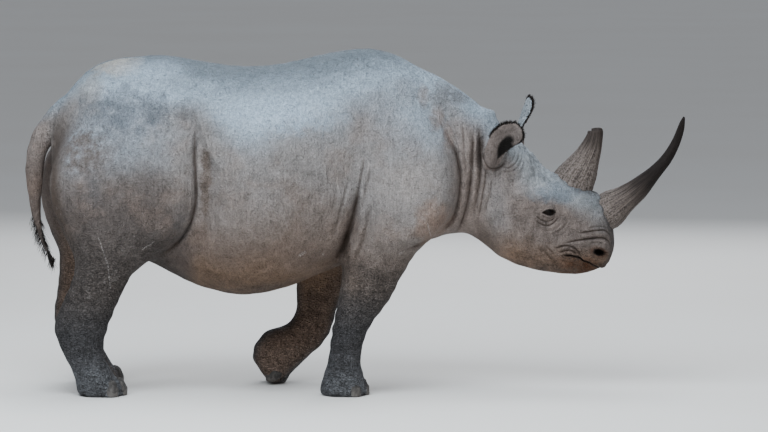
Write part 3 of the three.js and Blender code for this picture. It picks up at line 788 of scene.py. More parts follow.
def with_lids(points):
    """The hide fitted round the eyeballs: near the opening its distance from the ball's centre is the
    lid's own, and farther off the greater of that and what it was, rounded where they meet."""
    for side in SIDES:
        near = np.linalg.norm(points - eye_centres[side], axis=1) < 0.09
        offset, reach, margin, outer = eye_places(points[near], side)
        lid = EYE_RADIUS + LID_THICK + LID_ROLL * bell((margin - LID_ROLL_AT) / LID_ROLL_WIDE)
        groove = LID_GROOVE * bell((margin - LID_GROOVE_AT) / LID_GROOVE_WIDE)
        lid -= groove + LID_FALL * np.maximum(margin - LID_END, 0)
        outside = lid + np.log1p(np.exp(np.clip((reach - lid) / LID_SOFT, -30, 30))) * LID_SOFT
        inside = EYE_RADIUS - BEHIND_BALL
        fitted = np.where(outer, inside + (outside - inside) * ease(margin, -0.0020, 0.0014), reach)
        moved = offset * (fitted / reach)[:, None] * [1, SIDES[side], 1]
        points[near] = from_head(eye_spots[side] + moved)
    return points


# The nostrils: slanting oval pits near the front of the muzzle, deepest in the middle, with a raised rim.
NOSTRIL_PLACE = (0.243, 0.652)  # forward, up
NOSTRIL_WIDE, NOSTRIL_TALL, NOSTRIL_TILT = 0.030, 0.0175, math.radians(-16)
NOSTRIL_DEEP, NOSTRIL_RIM = 0.038, 0.003


def nostril_oval(head, shift=0.0):
    """0 in the middle of a nostril, 1 all round its edge and more outside: the distance from its middle
    in a plane whose axes are tilted and stretched to its width and height."""
    ahead, rise = head[:, 0] - NOSTRIL_PLACE[0] + shift, head[:, 2] - NOSTRIL_PLACE[1]
    cos, sin = math.cos(NOSTRIL_TILT), math.sin(NOSTRIL_TILT)
    return np.hypot((ahead * cos + rise * sin) / NOSTRIL_WIDE, (rise * cos - ahead * sin) / NOSTRIL_TALL)


def with_nostrils(points):
    """The hide with both pits pressed in and a little back, each of them as deep as the power 1.5 of one
    less the oval's square."""
    head = in_head(points)
    for side in SIDES.values():
        oval = nostril_oval(head)
        here = side * head[:, 1] > 0.045
        deep = np.where(here, NOSTRIL_DEEP * np.maximum(0, 1 - oval ** 2) ** 1.5, 0)
        rim = np.where(here, NOSTRIL_RIM * bell((oval - 1.35) / 0.3), 0)
        head[:, 1] -= side * (deep - rim)
        head[:, 0] -= 0.4 * deep
    return from_head(head)


# The mouth: a long closed line that climbs from the hooked upper lip back to a turned-down corner, as
# forward and Z in millimetres.
MOUTH_LINE = [
    (45, 634), (80, 638), (105, 636.5), (124, 632), (145.5, 626.5), (162, 612),
    (178, 607), (194.5, 599), (214, 585), (235, 572), (262, 556), (300, 535),
]
MOUTH_CORNER = 0.03  # forward
MOUTH_DEEP, MOUTH_WIDE = 0.013, 0.0042
UPPER_LIP, LOWER_LIP = 0.0045, 0.002  # how far one stands out and the other draws back


def above_mouth(head):
    """How high each point is over the mouth's line."""
    line = curve_through(np.array(MOUTH_LINE) / 1000)
    return head[:, 2] - np.interp(head[:, 0], line[:, 0], line[:, 1])


def mouth_push(points):
    """How far the mouth's line moves the hide, and the shade painted along it: a crease, under a full upper
    lip.
    """
    head = in_head(points)
    height = above_mouth(head)
    fade = ease(head[:, 0], 0.058, 0.098) * (head[:, 0] > MOUTH_CORNER)
    fade *= ease(0.30 - head[:, 0], 0, 0.02)
    push = fade * (UPPER_LIP * bell((height - 0.014) / 0.011) - LOWER_LIP * bell((height + 0.013) / 0.009)
                   - MOUTH_DEEP * bell(height / MOUTH_WIDE))
    return push, fade * bell(height / 0.005)


# The hump of loose hide across the nape, just behind the ears, and the dips on both sides of it, as
# places, reaches and heights, and the saddle of hide between the horns' bases in the same way.
NAPE = [
    ((0.645, -0.02, 1.290), (0.020, 0.075, 0.027), 0.026),
    ((0.700, -0.02, 1.225), (0.022, 0.070, 0.034), -0.014),
    ((0.592, -0.02, 1.324), (0.024, 0.070, 0.026), -0.009),
]
SADDLE = ((0.197, 0.0, 0.880), (0.030, 0.060, 0.030), 0.016)
BROW_ROUGH = 0.0055
HORN_RIM, HORN_RIM_WIDE = 0.007, 0.018
horn_field = Field([solid_of("horn_front"), solid_of("horn_rear")], VOXEL, 12,
                   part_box("horn_rear")[0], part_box("horn_front")[1])


def beside_horns(points):
    """1 at a horn's surface, falling away from it like a bell."""
    return bell(np.maximum(horn_field.at(points), 0) / HORN_RIM_WIDE)


def mound(points, at, reach, height):
    """A bell-shaped rise round a place, with its own reach along each axis."""
    return height * np.exp(-(((points - np.array(at)) / reach) ** 2).sum(1))


def nape_push(points):
    """The hump behind the ears, the rough folds of hide on the forehead, and the rims round the horns."""
    push = sum(mound(points, *hump) for hump in NAPE)
    head = in_head(points)
    push += mound(head, *SADDLE)
    forehead = bell((head[:, 0] + 0.06) / 0.09) * ease(head[:, 2], 0.93, 1.0) * bell(head[:, 1] / 0.12)
    rim = beside_horns(points) * ease(head[:, 2], 0.76, 0.84)
    return push + HORN_RIM * rim + BROW_ROUGH * np.maximum(forehead, 0.7 * rim) * lumps(points, 0.034, 8)


def near_features(points, reach):
    """Whether each point is within a reach of an eye, a nostril or the mouth."""
    head = in_head(points)
    near = np.zeros(len(points), bool)
    for side in SIDES:
        near |= np.linalg.norm(points - eye_centres[side], axis=1) < EYE_RADIUS + reach
    near |= np.hypot(head[:, 0] - NOSTRIL_PLACE[0], head[:, 2] - NOSTRIL_PLACE[1]) < NOSTRIL_WIDE + reach
    return near | ((head[:, 0] > MOUTH_CORNER) & (np.abs(above_mouth(head)) < reach * 0.8))


# The skin's mesh: taken from the coarse field, made finer at the head and in the folds, and pulled onto
# the finished form. Then the folds move it, and a soft unevenness: broad on the trunk, small all over,
# and in rings down the legs.
points, faces = skin_field.surface()
points, faces = refined(points, faces, points[:, 0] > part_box("ear_right")[0][0] - 0.06)
for step in range(PULL_STEPS):
    pull = np.clip(skin_distance(points), -PULL_MOST, PULL_MOST)
    points -= outward(points, faces) * pull[:, None] * PULL_SHARE
points, faces = refined(points, faces, all_folds(points, broad_normals(points))[1] > 0.03)
points, faces = refined(points, faces, near_features(points, 0.016))
normals = outward(points, faces)
legs = 1 - ease(points[:, 2], 0.42, 0.62)
push = mouth_push(points)[0]
push += BROAD_LUMPS * lumps(points, 0.24, 3) * broad_share(points)
push += nape_push(points)
push += SMALL_LUMPS * lumps(points, 0.055, 4) * (1 - 0.6 * legs)
push += LEG_RINGS * legs * ease(points[:, 2], 0.05, 0.1) * lumps(points * [0.5, 0.5, 2.4], 0.11, 5)
points += normals * push[:, None] + all_folds(points, broad_normals(points))[0]
points = with_nostrils(with_lids(points))
points[:, 2] = np.maximum(points[:, 2], 0)

# Thinned where it is flat, to fewer triangles than a piece may have.
skin = piece_of("skin", points, faces)
trim = skin.modifiers.new("trim", "DECIMATE")
trim.ratio = SKIN_TRIANGLES / len(faces)
bpy.context.view_layer.update()
trimmed = bpy.data.meshes.new_from_object(skin.evaluated_get(bpy.context.evaluated_depsgraph_get()))
skin.modifiers.clear()
skin.data = trimmed


# The ear's canal, where deep shade is painted: how high its middle stands over the root, half its width,
# its height and slant.
CANAL_AT, CANAL_WIDE, CANAL_TALL, CANAL_SLANT = 0.130, 0.036, 0.076, 0.10


def ear_places(points, side):
    """How far each point is on the inner face of the ear's leaf, how far into its canal, which is a
    drop, pointed at the bottom, and whether it is on the ear at all, each from 0 to 1."""
    root, directions = ear_frame(side)
    local = (points - root) @ directions.T
    u = np.clip(local[:, 2] / EAR_LENGTH, 0, 1)
    depth, reach = ear_hollow(u)
    leaf = depth * (1 - bell(local[:, 0] / reach)) + EAR_CURL * u * u
    beyond = local[:, 1] - leaf
    ear = ear_fields[side]
    low, high = ear.start * ear.voxel, (ear.start + ear.values.shape) * ear.voxel
    here = np.all((points > low + 0.010) & (points < high - 0.010), axis=1)
    own = here * (1 - ease(np.abs(ear.at(points)), 0.008, 0.013))
    rise = local[:, 2] - CANAL_AT
    wide = CANAL_WIDE * (0.3 + 0.7 * ease(rise, -CANAL_TALL, 0.02))
    oval = np.hypot((local[:, 0] - CANAL_SLANT * rise) / wide, rise / CANAL_TALL)
    canal = (1 - ease(oval, 0.75, 1.1)) * here * ease(beyond, -0.004, 0.002)
    return ease(beyond, -0.002, 0.002) * own, canal, own


def write_attribute(piece, name, values):
    """One number for each point of a piece, for its material to read."""
    layer = piece.data.attributes.new(name, "FLOAT", "POINT")
    layer.data.foreach_set("value", np.asarray(values, np.float32))


def points_of(piece):
    """The points of a piece's finished mesh."""
    points = np.empty((len(piece.data.vertices), 3), np.float32)
    piece.data.vertices.foreach_get("co", points.ravel())
    return points.astype(float)


# What the material reads at each point: how far it is in a crease and in a hollow of the body, where shade
# is painted, and in an opening, where deep shade is painted and the lids' rims are dark, the ear's hollow,
# the lip, which way it faces, which sets where sky light, ground light and shade are painted, and how near
# it is to a horn.
skin_points = points_of(skin)
head = in_head(skin_points)
facing = broad_normals(skin_points)
crease = all_folds(skin_points, facing)[1]
# Painted shade along the mouth's line.
dark = mouth_push(skin_points)[1]
inner_ear, canal, ear_hide = (np.zeros(len(skin_points)) for _ in range(3))
for side in SIDES:
    offset, reach, margin, outer = eye_places(skin_points, side)
    close = np.linalg.norm(offset, axis=1) < 0.06
    # Round the eye's opening: the lids' dark rims, with painted shade.
    dark = np.maximum(dark, np.where(close & outer, 1 - ease(margin, 0.001, 0.0055), 0))
    inner, hole, own = ear_places(skin_points, side)
    inner_ear, canal = np.maximum(inner_ear, inner), np.maximum(canal, hole)
    ear_hide = np.maximum(ear_hide, own)
# Painted deep shade in the nostril's pit.
pit = nostril_oval(head, 0.012)
dark = np.maximum(dark, 1 - ease(pit, 0.7, 1.0))
below = -above_mouth(head)
lip = ease(below, -0.006, 0.010) * ease(head[:, 0], -0.02, 0.17)
lip = np.maximum(lip, bell((below + 0.014) / 0.026) * ease(head[:, 0], 0.10, 0.20) * 0.8)
lip = np.maximum(lip, 0.7 * (1 - ease(pit, 0.9, 2.2)))
marks = {
    "crease": crease,
    # with painted deep shade in the ear's canal
    "dark": np.maximum(dark, canal),
    "inner_ear": inner_ear,
    "lip": lip,
    "hollow": ease(-broad_field.at(skin_points), 0.006, 0.034) * (1 - ear_hide),
    "upward": facing[:, 2],
    "rearward": -facing[:, 0],
    "inward": -np.tanh(skin_points[:, 1] / 0.05) * facing[:, 1],
    "horn_rim": beside_horns(skin_points),
}
for name, values in marks.items():
    write_attribute(skin, name, values)

# The hide's colours: the body from the back, with painted cool sky light and dust, down to the belly, with
# painted shade and painted warm light from the ground, the legs, the head, and the marks.
# Painted cool sky light, on the faces that turn up.
SKY_LIT_BACK = (0.335, 0.402, 0.472)
# Painted shade along the top of the back, where it faces straight up.
SPINE_SHADE = (0.155, 0.184, 0.211)
# A painted sheen of sky light, on the upper flank and the rump.
SHEEN = (0.41, 0.50, 0.60)
FLANK = (0.262, 0.250, 0.247)
# Darker and browner low on the body: painted shade, and on the belly painted warm light from the ground.
LOW_FLANK_SHADE = (0.186, 0.147, 0.126)
BELLY_GROUND_LIGHT = (0.262, 0.174, 0.116)
WARM = (0.245, 0.185, 0.155)
# Painted shade in the hollow of the flank ahead of the thigh.
HOLLOW_SHADE = (0.125, 0.097, 0.081)
# Painted shade on the faces that turn to the rear, below the tail's root.
REAR_SHADE = (0.085, 0.058, 0.042)
HIP_SHADE = (0.152, 0.176, 0.207)
THIGH = (0.124, 0.107, 0.101)
THIGH_SIDE = (0.170, 0.150, 0.142)
# Painted light on the shoulder.
SHOULDER_LIGHT = (0.370, 0.342, 0.330)
LEG = (0.126, 0.109, 0.102)
LEG_DUST = (0.200, 0.190, 0.187)
# The paler, warmer inner faces of the legs: partly their own skin, partly painted warm light from the
# ground.
LEG_INSIDE = (0.275, 0.190, 0.142)
SHIN = (0.076, 0.079, 0.088)
FOOT_DUST = (0.192, 0.200, 0.215)
CHEST = (0.300, 0.218, 0.178)
NECK = (0.205, 0.208, 0.219)
COLLAR = (0.300, 0.240, 0.212)
# Painted cool sky light on the top of the head; the head's sides take FACE instead.
SKY_LIT_CROWN = (0.345, 0.368, 0.390)
BROW_SHADE = (0.250, 0.300, 0.355)
FACE = (0.240, 0.203, 0.187)
# Painted warm light from the ground, on the faces of the head that turn down.
JAW_GROUND_LIGHT = (0.430, 0.275, 0.178)
LIP = (0.115, 0.050, 0.023)
INNER_EAR = (0.222, 0.190, 0.178)
HORN_STAIN = (0.11, 0.10, 0.10)
# Painted shade in creases, hollows, behind the ear and under the elbow, and the colour of dark scratches
# and flecks.
SHADE_AND_DARK_MARKS = (0.055, 0.038, 0.029)
# Painted deep shade in the nostrils, the mouth's line and the ear canals, and round the eyes the lids' dark
# rims with painted shade.
OPENING_SHADE_AND_DARK_RIMS = (0.006, 0.0045, 0.004)
DUST = (0.47, 0.44, 0.40)
# Dark patches below the point of the hip, on the back of the thigh and low on the flank.
DARK_PATCH = (0.11, 0.115, 0.125)
SCAR = (0.50, 0.48, 0.47)
PALE_FLECK = (0.34, 0.33, 0.325)
# Daubs on the right side, of dust, dark patches and tint, and of painted light and shade: painted shade
# below the point of the hip, above the eye, behind the ear, under the elbow and in the hollow ahead of the
# thigh, a painted sheen of sky light on the upper flank and the rump, and painted light on the shoulder. X
# and Z of the middle and the reach along and up, in millimetres, then strength and colour.
DAUBS = [
    ((-1090, 1510), (130, 50), 0.75, DUST),
    ((-1200, 1410), (70, 70), 0.35, DUST),
    ((-880, 1288), (70, 20), 0.35, DARK_PATCH),
    ((-770, 1296), (55, 34), 0.55, DARK_PATCH),
    ((-1190, 960), (50, 120), 0.40, DARK_PATCH),
    ((-780, 800), (45, 90), 0.35, DARK_PATCH),
    # painted shade below the point of the hip
    ((-1050, 1300), (230, 120), 0.74, HIP_SHADE),
    # painted sheen of sky light on the upper flank and the rump
    ((-340, 1300), (280, 95), 0.85, SHEEN),
    ((-930, 1490), (170, 50), 0.50, SHEEN),
    # painted shade above the eye
    ((930, 922), (120, 50), 0.70, BROW_SHADE),
    # painted light on the shoulder
    ((250, 960), (150, 120), 0.50, SHOULDER_LIGHT),
    ((322, 1370), (30, 50), 0.50, COLLAR),
    ((380, 1275), (34, 60), 0.60, COLLAR),
    ((435, 1185), (30, 70), 0.60, COLLAR),
    # painted shade in the groove behind the ear
    ((578, 1130), (22, 120), 0.60, SHADE_AND_DARK_MARKS),
    # painted shade under the elbow
    ((-30, 690), (20, 70), 0.80, SHADE_AND_DARK_MARKS),
    # painted shade in the hollow ahead of the thigh
    ((-672, 990), (28, 180), 0.85, HOLLOW_SHADE),
    ((-1240, 1120), (130, 120), 1.00, THIGH_SIDE),
    ((430, 1370), (120, 70), 0.78, NECK),
    ((370, 800), (90, 120), 0.75, CHEST),
]
# Old scratches on the same side: X and Z of both ends and the width, in millimetres, then strength. A
# negative strength is a dark line.
SCRATCHES = [
    ((-1160, 735), (-1121, 612), 3.8, 0.55), ((-1121, 612), (-1112, 500), 3.8, 0.55),
    ((-963, 681), (-908, 716), 3.6, 0.6), ((338, 800), (354, 735), 3.5, 0.55),
    ((520, 1080), (548, 1020), 2.2, 0.5), ((205, 1378), (300, 1366), 1.8, -0.5),
    ((-520, 1120), (-440, 1020), 1.6, 0.3), ((-330, 900), (-300, 780), 1.5, 0.3),
    ((-246, 652), (-222, 668), 8.0, 0.5), ((-138, 654), (-136, 647), 5.0, 0.5),
    ((210, 658), (232, 670), 6.0, 0.35), ((-530, 661), (-500, 662), 3.0, -0.6),
    ((-416, 701), (-404, 696), 8.0, -0.35), ((1009, 853), (1008, 843), 5.0, 0.6),
    ((749, 858), (750, 843), 3.5, 0.5), ((1066, 757), (1082, 749), 4.0, 0.5),
]

hide = Finish("hide", specular_ior_level=0.35)


def laid_over(colour, *layers):
    """A colour under others, each of them laid on where its share is 1, one after another."""
    for share, tint in layers:
        colour = hide.mix(share, colour, tint)
    return colour


def stroke(x, z, start, end, width):
    """1 on a straight scratch between two places, 0 beside it: the distance from the line's nearest
    point, held between its two ends."""
    dx, dz = end[0] - start[0], end[1] - start[1]
    span = dx * dx + dz * dz
    share = (x - start[0]) * (dx / span) + (z - start[1]) * (dz / span)
    share = share.maths("MAXIMUM", share.maths("MINIMUM", share, 1.0), 0.0)
    off_x, off_z = x - start[0] - share * dx, z - start[1] - share * dz
    gap = (off_x * off_x + off_z * off_z) ** 0.5
    return hide.ease(gap, width, width * 0.3)


# The patterns: broad patches, blotches, grains and specks, streaks down the sides, wrinkles across the
# legs, and flecks.
place = hide.place()
x, y, z = (hide.node("SeparateXYZ", {}, {0: place}, out=k) for k in range(3))
patches = hide.noise(place, 3.2, detail=4)
warmth = hide.noise(place, 5.5, detail=4, rough=0.6)
blotches = hide.noise(place, 19, detail=4, rough=0.6)
grains = hide.noise(place, 52, detail=3, rough=0.6)
specks = hide.noise(place, 150, detail=3, rough=0.65)
upright = hide.noise(hide.stretched(place, (95, 95, 9)), 1.0, detail=4, rough=0.6)
level = hide.noise(hide.stretched(place, (26, 26, 95)), 1.0, detail=3, rough=0.6, warp=0.6)
flecks = hide.noise(hide.stretched(place, (62, 62, 40)), 1.0, detail=2, rough=0.5)
crease, dark, inner_ear, lip, hollow, upward, rearward, inward, horn_rim = (
    hide.attribute(name) for name in marks
)
# Where the parts of the body are, with uneven edges.
height = z + (patches - 0.5) * 0.26 + (blotches - 0.5) * 0.07
leg_height = height - hide.ease(x, -0.76, -0.92) * 0.24 - hide.ease(x, -0.14, -0.04) * 0.10
leg_share = hide.ease(leg_height, 0.66, 0.30)
height = height + hide.ease(x, -0.10, 0.10) * 0.12 + hide.ease(x, 0.55, 0.75) * 0.06
thigh = hide.ease(leg_height + blotches * 0.1, 1.14, 0.60) * hide.ease(x, -0.70, -0.80)
# Where painted sky light falls: on faces turned up and high on the body, less on rear faces.
sky_light_share = upward + (z - 1.1) * 0.45 + (patches - 0.5) * 0.6 - hide.ease(rearward, 0.1, 0.8) * 0.30
sky_light_share = sky_light_share - hide.ease(x, -0.10, 0.25) * 0.12
# Painted shade along the top of the back, on the faces turned most steeply up.
spine_shade = hide.ease(upward + (patches - 0.5) * 0.6, 0.46, 1.00) * hide.ease(x, 0.40, 0.10)
head_share = hide.ease(x, 0.56, 0.76)
collar = hide.ease(x + (blotches - 0.5) * 0.05, 0.42, 0.50) * hide.ease(x, 0.66, 0.56)
# Painted shade on rear faces of the buttocks and thighs, below the tail's root and ahead of the tail.
behind = hide.ease(rearward, 0.45, 0.85) * hide.ease(z, 1.36, 1.15) * hide.ease(x, -1.42, -1.37)
dusty_foot = hide.ease(z + (blotches - 0.5) * 0.15, 0.24, 0.04)
right_side = hide.ease(y, -0.02, -0.05)
leg_colour = laid_over(
    LEG,
    (hide.ease(level * 0.6 + blotches * 0.6 + dusty_foot * 0.4, 0.55, 1.10), LEG_DUST),
    (hide.ease(z + (blotches - 0.5) * 0.1, 0.50, 0.26) * 0.75, SHIN),
    (dusty_foot * hide.ease(level * 0.5 + blotches * 0.7, 0.40, 0.75), FOOT_DUST),
    # inner faces of the legs: partly their own paler skin, partly painted warm light from the ground
    (hide.ease(inward, 0.1, 0.9) * 0.72, LEG_INSIDE),
)
colour = laid_over(
    # painted shade low on the body, and painted warm light from the ground on the belly
    BELLY_GROUND_LIGHT,
    (hide.ease(height, 0.50, 0.68), LOW_FLANK_SHADE),
    (hide.ease(height, 0.64, 1.08), FLANK),
    (thigh, THIGH),
    (hide.ease(warmth, 0.46, 0.66) * 0.30 + hide.ease(x, -1.38, -1.43) * 0.4, WARM),
    # painted cool sky light on the faces that turn up
    (hide.ease(sky_light_share, 0.10, 0.68), SKY_LIT_BACK),
    # painted shade along the top of the back
    (spine_shade * 0.95, SPINE_SHADE),
    # painted cool sky light over the head, then its own colour on the faces that do not turn up
    (head_share * 0.8, SKY_LIT_CROWN),
    (head_share * hide.ease(upward + (warmth - 0.5) * 0.35, 0.50, 0.14), FACE),
    (collar * hide.ease(upward, 0.55, 0.10) * 0.55, COLLAR),
    # painted warm light from the ground on the faces that turn down
    (head_share * hide.ease(upward + (blotches - 0.5) * 0.5, -0.05, -0.75) * 0.8, JAW_GROUND_LIGHT),
    # painted shade on the rear faces
    (behind * 0.7, REAR_SHADE),
    (leg_share, leg_colour),
    (lip * hide.ease(blotches + specks * 0.3, 0.30, 0.80) * 1.1, LIP),
    (inner_ear * 0.95, INNER_EAR),
    (horn_rim * hide.ease(specks + blotches * 0.5, 0.6, 0.85) * 0.8, HORN_STAIN),
    # painted shade in the hollows and the creases of the body
    (hollow * 0.6, SHADE_AND_DARK_MARKS),
    (crease * (0.30 + patches * 0.9), SHADE_AND_DARK_MARKS),
)
for (at_x, at_z), (wide, tall), strength, tint in DAUBS:
    across, over = (x - at_x / 1000) / (wide / 1000), (z - at_z / 1000) / (tall / 1000)
    gone = across * across + over * over + (blotches - 0.5) * 3.0 + (specks - 0.5) * 1.2
    colour = hide.mix(hide.ease(gone, 1.5, -0.3) * right_side * strength, colour, tint)
wavering = (blotches - 0.5) * 0.012
for *sizes, strength in SCRATCHES:
    start, end, width = (np.array(size) / 1000 for size in sizes)
    mark = stroke(x + wavering, z - wavering, start, end, width) * right_side
    mark = mark * hide.ease(specks, 0.35, 0.6) * abs(strength)
    colour = hide.mix(mark, colour, SCAR if strength > 0 else SHADE_AND_DARK_MARKS)
colour = laid_over(
    colour,
    (hide.ease(flecks, 0.68, 0.78) * 0.30, PALE_FLECK),
    (hide.ease(flecks, 0.33, 0.26) * 0.40, SHADE_AND_DARK_MARKS),
)
# The mosaic of small plates that covers the hide, fine all over and coarse on the legs, with edges that
# waver. Its shade and its bumps come from the same patterns.
waver = hide.node("TexNoise", {}, {"Vector": place, "Scale": 45.0, "Detail": 2.0}, out=1)
waver = hide.node("VectorMath", {"operation": "SCALE"}, {0: waver, "Scale": 0.012})
warped = hide.node("VectorMath", {"operation": "ADD"}, {0: place, 1: waver})
plates = [hide.node("TexVoronoi", {"feature": "DISTANCE_TO_EDGE"}, {
    "Vector": hide.stretched(warped, scale), "Scale": 1.0, "Randomness": 1.0,
}) for scale in ((125, 125, 80), (52, 52, 110))]
fine_net = hide.ease(plates[0], 0.0, 0.32) * (1 - inner_ear * 0.85)
leg_net = hide.ease(plates[1], 0.0, 0.30)
shade = 0.685 + (blotches - 0.5) * 0.60 + (specks - 0.5) * 0.90 + (upright - 0.5) * 0.60 + patches * 0.36
shade += (grains - 0.5) * 0.45 + (level - 0.5) * leg_share * 0.50
shade += fine_net * 0.15 + (leg_net - 1) * leg_share * 0.36 + (blotches - 0.5) * head_share * 0.6
# Darker towards the head, which is painted shade, and darker again on the muzzle.
shade = shade * (1 - hide.ease(x, 0.50, 0.78) * 0.12 - hide.ease(x, 0.93, 1.12) * 0.20)
colour = hide.node("VectorMath", {"operation": "SCALE"}, {0: colour, "Scale": shade})
# Painted deep shade in the openings, with the lids' dark rims.
colour = hide.mix(dark, colour, OPENING_SHADE_AND_DARK_RIMS)
wrinkled = leg_share + head_share * 0.6
wrinkles = hide.node("Mix", {"data_type": "FLOAT"}, {0: wrinkled, 2: upright, 3: level})
relief = None
for bumps, depth in (
    (fine_net, 0.0026),
    (leg_net * (0.15 + leg_share * 0.85), 0.0052),
    (wrinkles, 0.0074),
    (specks * (1 + horn_rim * 2), 0.0018),
    (grains, 0.0040),
    (blotches, 0.010),
):
    relief = hide.bump(bumps, depth, relief)
hide.dress(skin, base_color=colour, roughness=0.66 + specks * 0.24, normal=relief)
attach(skin, "root")
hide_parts("ear_right", "ear_left", *(node for node in FLESH if not node.startswith("eye")))


# ---- Eyes ----
# Each eye is a ball with a bulging clear front over a dark brown iris and a wide pupil. It sits deep
# between its lids, wet and black at any distance.
IRIS = (0.007, 0.004, 0.003)
PUPIL = (0.002, 0.002, 0.002)
WHITE = (0.014, 0.009, 0.007)
EYE_RINGS, EYE_AROUND = 40, 48
EYE_PLAY = 0.0006  # how much smaller the ball is than the socket of its lids
CORNEA_RISE, CORNEA_SPREAD = 0.0012, 0.45


def eyeball(side):
    """Rings round the way the eye looks, from the front pole to the back: a ball of one radius, with a
    bell-shaped swell of the cornea at its front."""
    from_front = np.linspace(0.001, math.pi - 0.001, EYE_RINGS)
    angle, turn = np.meshgrid(from_front, np.arange(EYE_AROUND) * 2 * math.pi / EYE_AROUND, indexing="ij")
    reach = EYE_RADIUS - EYE_PLAY + CORNEA_RISE * bell(angle / CORNEA_SPREAD)
    look = EYE_LOOK * [1, SIDES[side], 1]
    ahead = eye_ahead * [1, SIDES[side], 1]
    up = np.cross(look, ahead)
    across = np.cos(turn)[..., None] * ahead + np.sin(turn)[..., None] * up
    local = (np.cos(angle)[..., None] * look + np.sin(angle)[..., None] * across) * reach[..., None]
    return from_head(eye_spots[side] + local).reshape(-1, 3), angle.ravel()


def capped(rows, around):
    """Triangles over rings of points, with the first and last ring each closed by a fan."""
    k = np.arange(1, around - 1)
    last = (rows - 1) * around
    first_fan = np.stack([0 * k, k + 1, k], axis=1)
    last_fan = np.stack([last + 0 * k, last + k, last + k + 1], axis=1)
    return np.concatenate([tube_faces(rows, around), first_fan, last_fan])


eye_finish = Finish(
    "wet_eye", roughness=0.30, coat_weight=0.04, coat_roughness=0.06, specular_ior_level=0.15,
)
angle = eye_finish.attribute("angle")
streaks = eye_finish.noise(eye_finish.place(), 420, detail=2)
eye_colour = eye_finish.mix(eye_finish.ease(angle, 0.22, 0.26), PUPIL, IRIS)
eye_colour = eye_finish.mix(eye_finish.ease(angle + streaks * 0.05, 0.56, 0.66), eye_colour, WHITE)
for side in SIDES:
    eye_points, eye_angle = eyeball(side)
    eye = piece_of("eyeball_" + side, *outwards(eye_points, capped(EYE_RINGS, EYE_AROUND)))
    write_attribute(eye, "angle", eye_angle)
    eye_finish.dress(eye, base_color=eye_colour)
    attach(eye, "root")
    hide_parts("eye_" + side)


# ---- Horns ----
# Two horns of packed hair-like fibres on the nose, with no bone inside: rough, split and dusty at the
# base, worn smooth and dark towards the tip. The front one sweeps up and forward, the rear one is broken.
HORN_DARK = (0.044, 0.036, 0.033)
HORN_BROWN = (0.150, 0.124, 0.112)
HORN_DUST = (0.30, 0.268, 0.250)
HORN_TIP = (0.011, 0.009, 0.009)
# Sections from base to tip, in millimetres in the head's middle plane: rear edge forward and Z, front
# edge forward and Z, half width.
FRONT_HORN = [
    (168, 872, 246, 722, 70), (184, 880, 262, 735, 77), (248, 922, 324, 772, 72), (320, 948, 377, 836, 59),
    (392, 990, 442, 906, 46), (468, 1046, 502, 990, 35), (524, 1106, 554, 1060, 27),
    (564, 1172, 590, 1130, 20), (593, 1242, 614, 1206, 13), (609, 1270, 619, 1259, 6),
    (613.5, 1273.5, 618, 1270, 2),
]
REAR_HORN = [
    (10, 938, 172, 868, 60), (0, 962, 182, 886, 67), (22, 1018, 196, 938, 61), (70, 1066, 212, 998, 51),
    (116, 1112, 224, 1058, 40), (152, 1160, 234, 1112, 31), (168, 1188, 240, 1164, 27),
    (172, 1203, 242, 1196, 24), (186, 1204, 240, 1208, 20), (190, 1213, 236, 1215, 15),
    (204, 1218, 226, 1219, 8),
]
HORN_AROUND, HORN_STEPS = 120, 14
GROWTH_RINGS, GROWTH_DEPTH = 260, 0.010  # how close they follow, in radians for each metre


def horn(sections, seed, chipped):
    """Oval rings carried along the sections. Round each ring and along the horn the fibres raise narrow
    ridges, strongest at the frayed base, with a few growth rings, and a broken tip is uneven."""
    rings = curve_through(np.array(sections) / 1000, HORN_STEPS)
    share = np.linspace(0, 1, len(rings))[:, None]
    turn = np.arange(HORN_AROUND) * 2 * math.pi / HORN_AROUND
    rear, front, half = rings[:, None, 0:2], rings[:, None, 2:4], rings[:, None, 4:5]
    middle, reach = (rear + front) / 2, (rear - front) / 2
    steps = np.linalg.norm(np.diff(middle[:, 0], axis=0), axis=1)
    grown = np.concatenate([[0], np.cumsum(steps)])[:, None]
    round_it = np.stack([np.cos(turn) + 0 * grown, np.sin(turn) + 0 * grown, grown + 0 * turn], axis=-1)
    flat = round_it.reshape(-1, 3)
    fine = lumps(flat * [1, 1, 2.5], 0.12, seed, 24).reshape(len(rings), -1)
    coarse = lumps(flat * [1, 1, 4], 0.42, seed + 1, 14).reshape(len(rings), -1)
    broken = chipped * lumps(flat * [1, 1, 30], 0.9, seed + 2).reshape(len(rings), -1)
    frayed = np.exp(-share * 5)
    relief = 1 + fine * (0.003 + 0.010 * frayed) + coarse * (0.008 + 0.014 * frayed)
    growth = GROWTH_DEPTH * np.sin(grown * GROWTH_RINGS + 0.8 * coarse)
    relief += growth * np.exp(-share * 3.2) * (share > 0.04)
    relief += broken * ease(share, 0.86, 0.97)
    up = np.sin(turn)[None, :, None] * relief[..., None]
    out = np.cos(turn)[None, :, None] * relief[..., None] * half
    plane = middle + reach * up
    points = np.concatenate([plane[..., :1], out, plane[..., 1:]], axis=-1)
    return from_head(points.reshape(-1, 3)), round_it


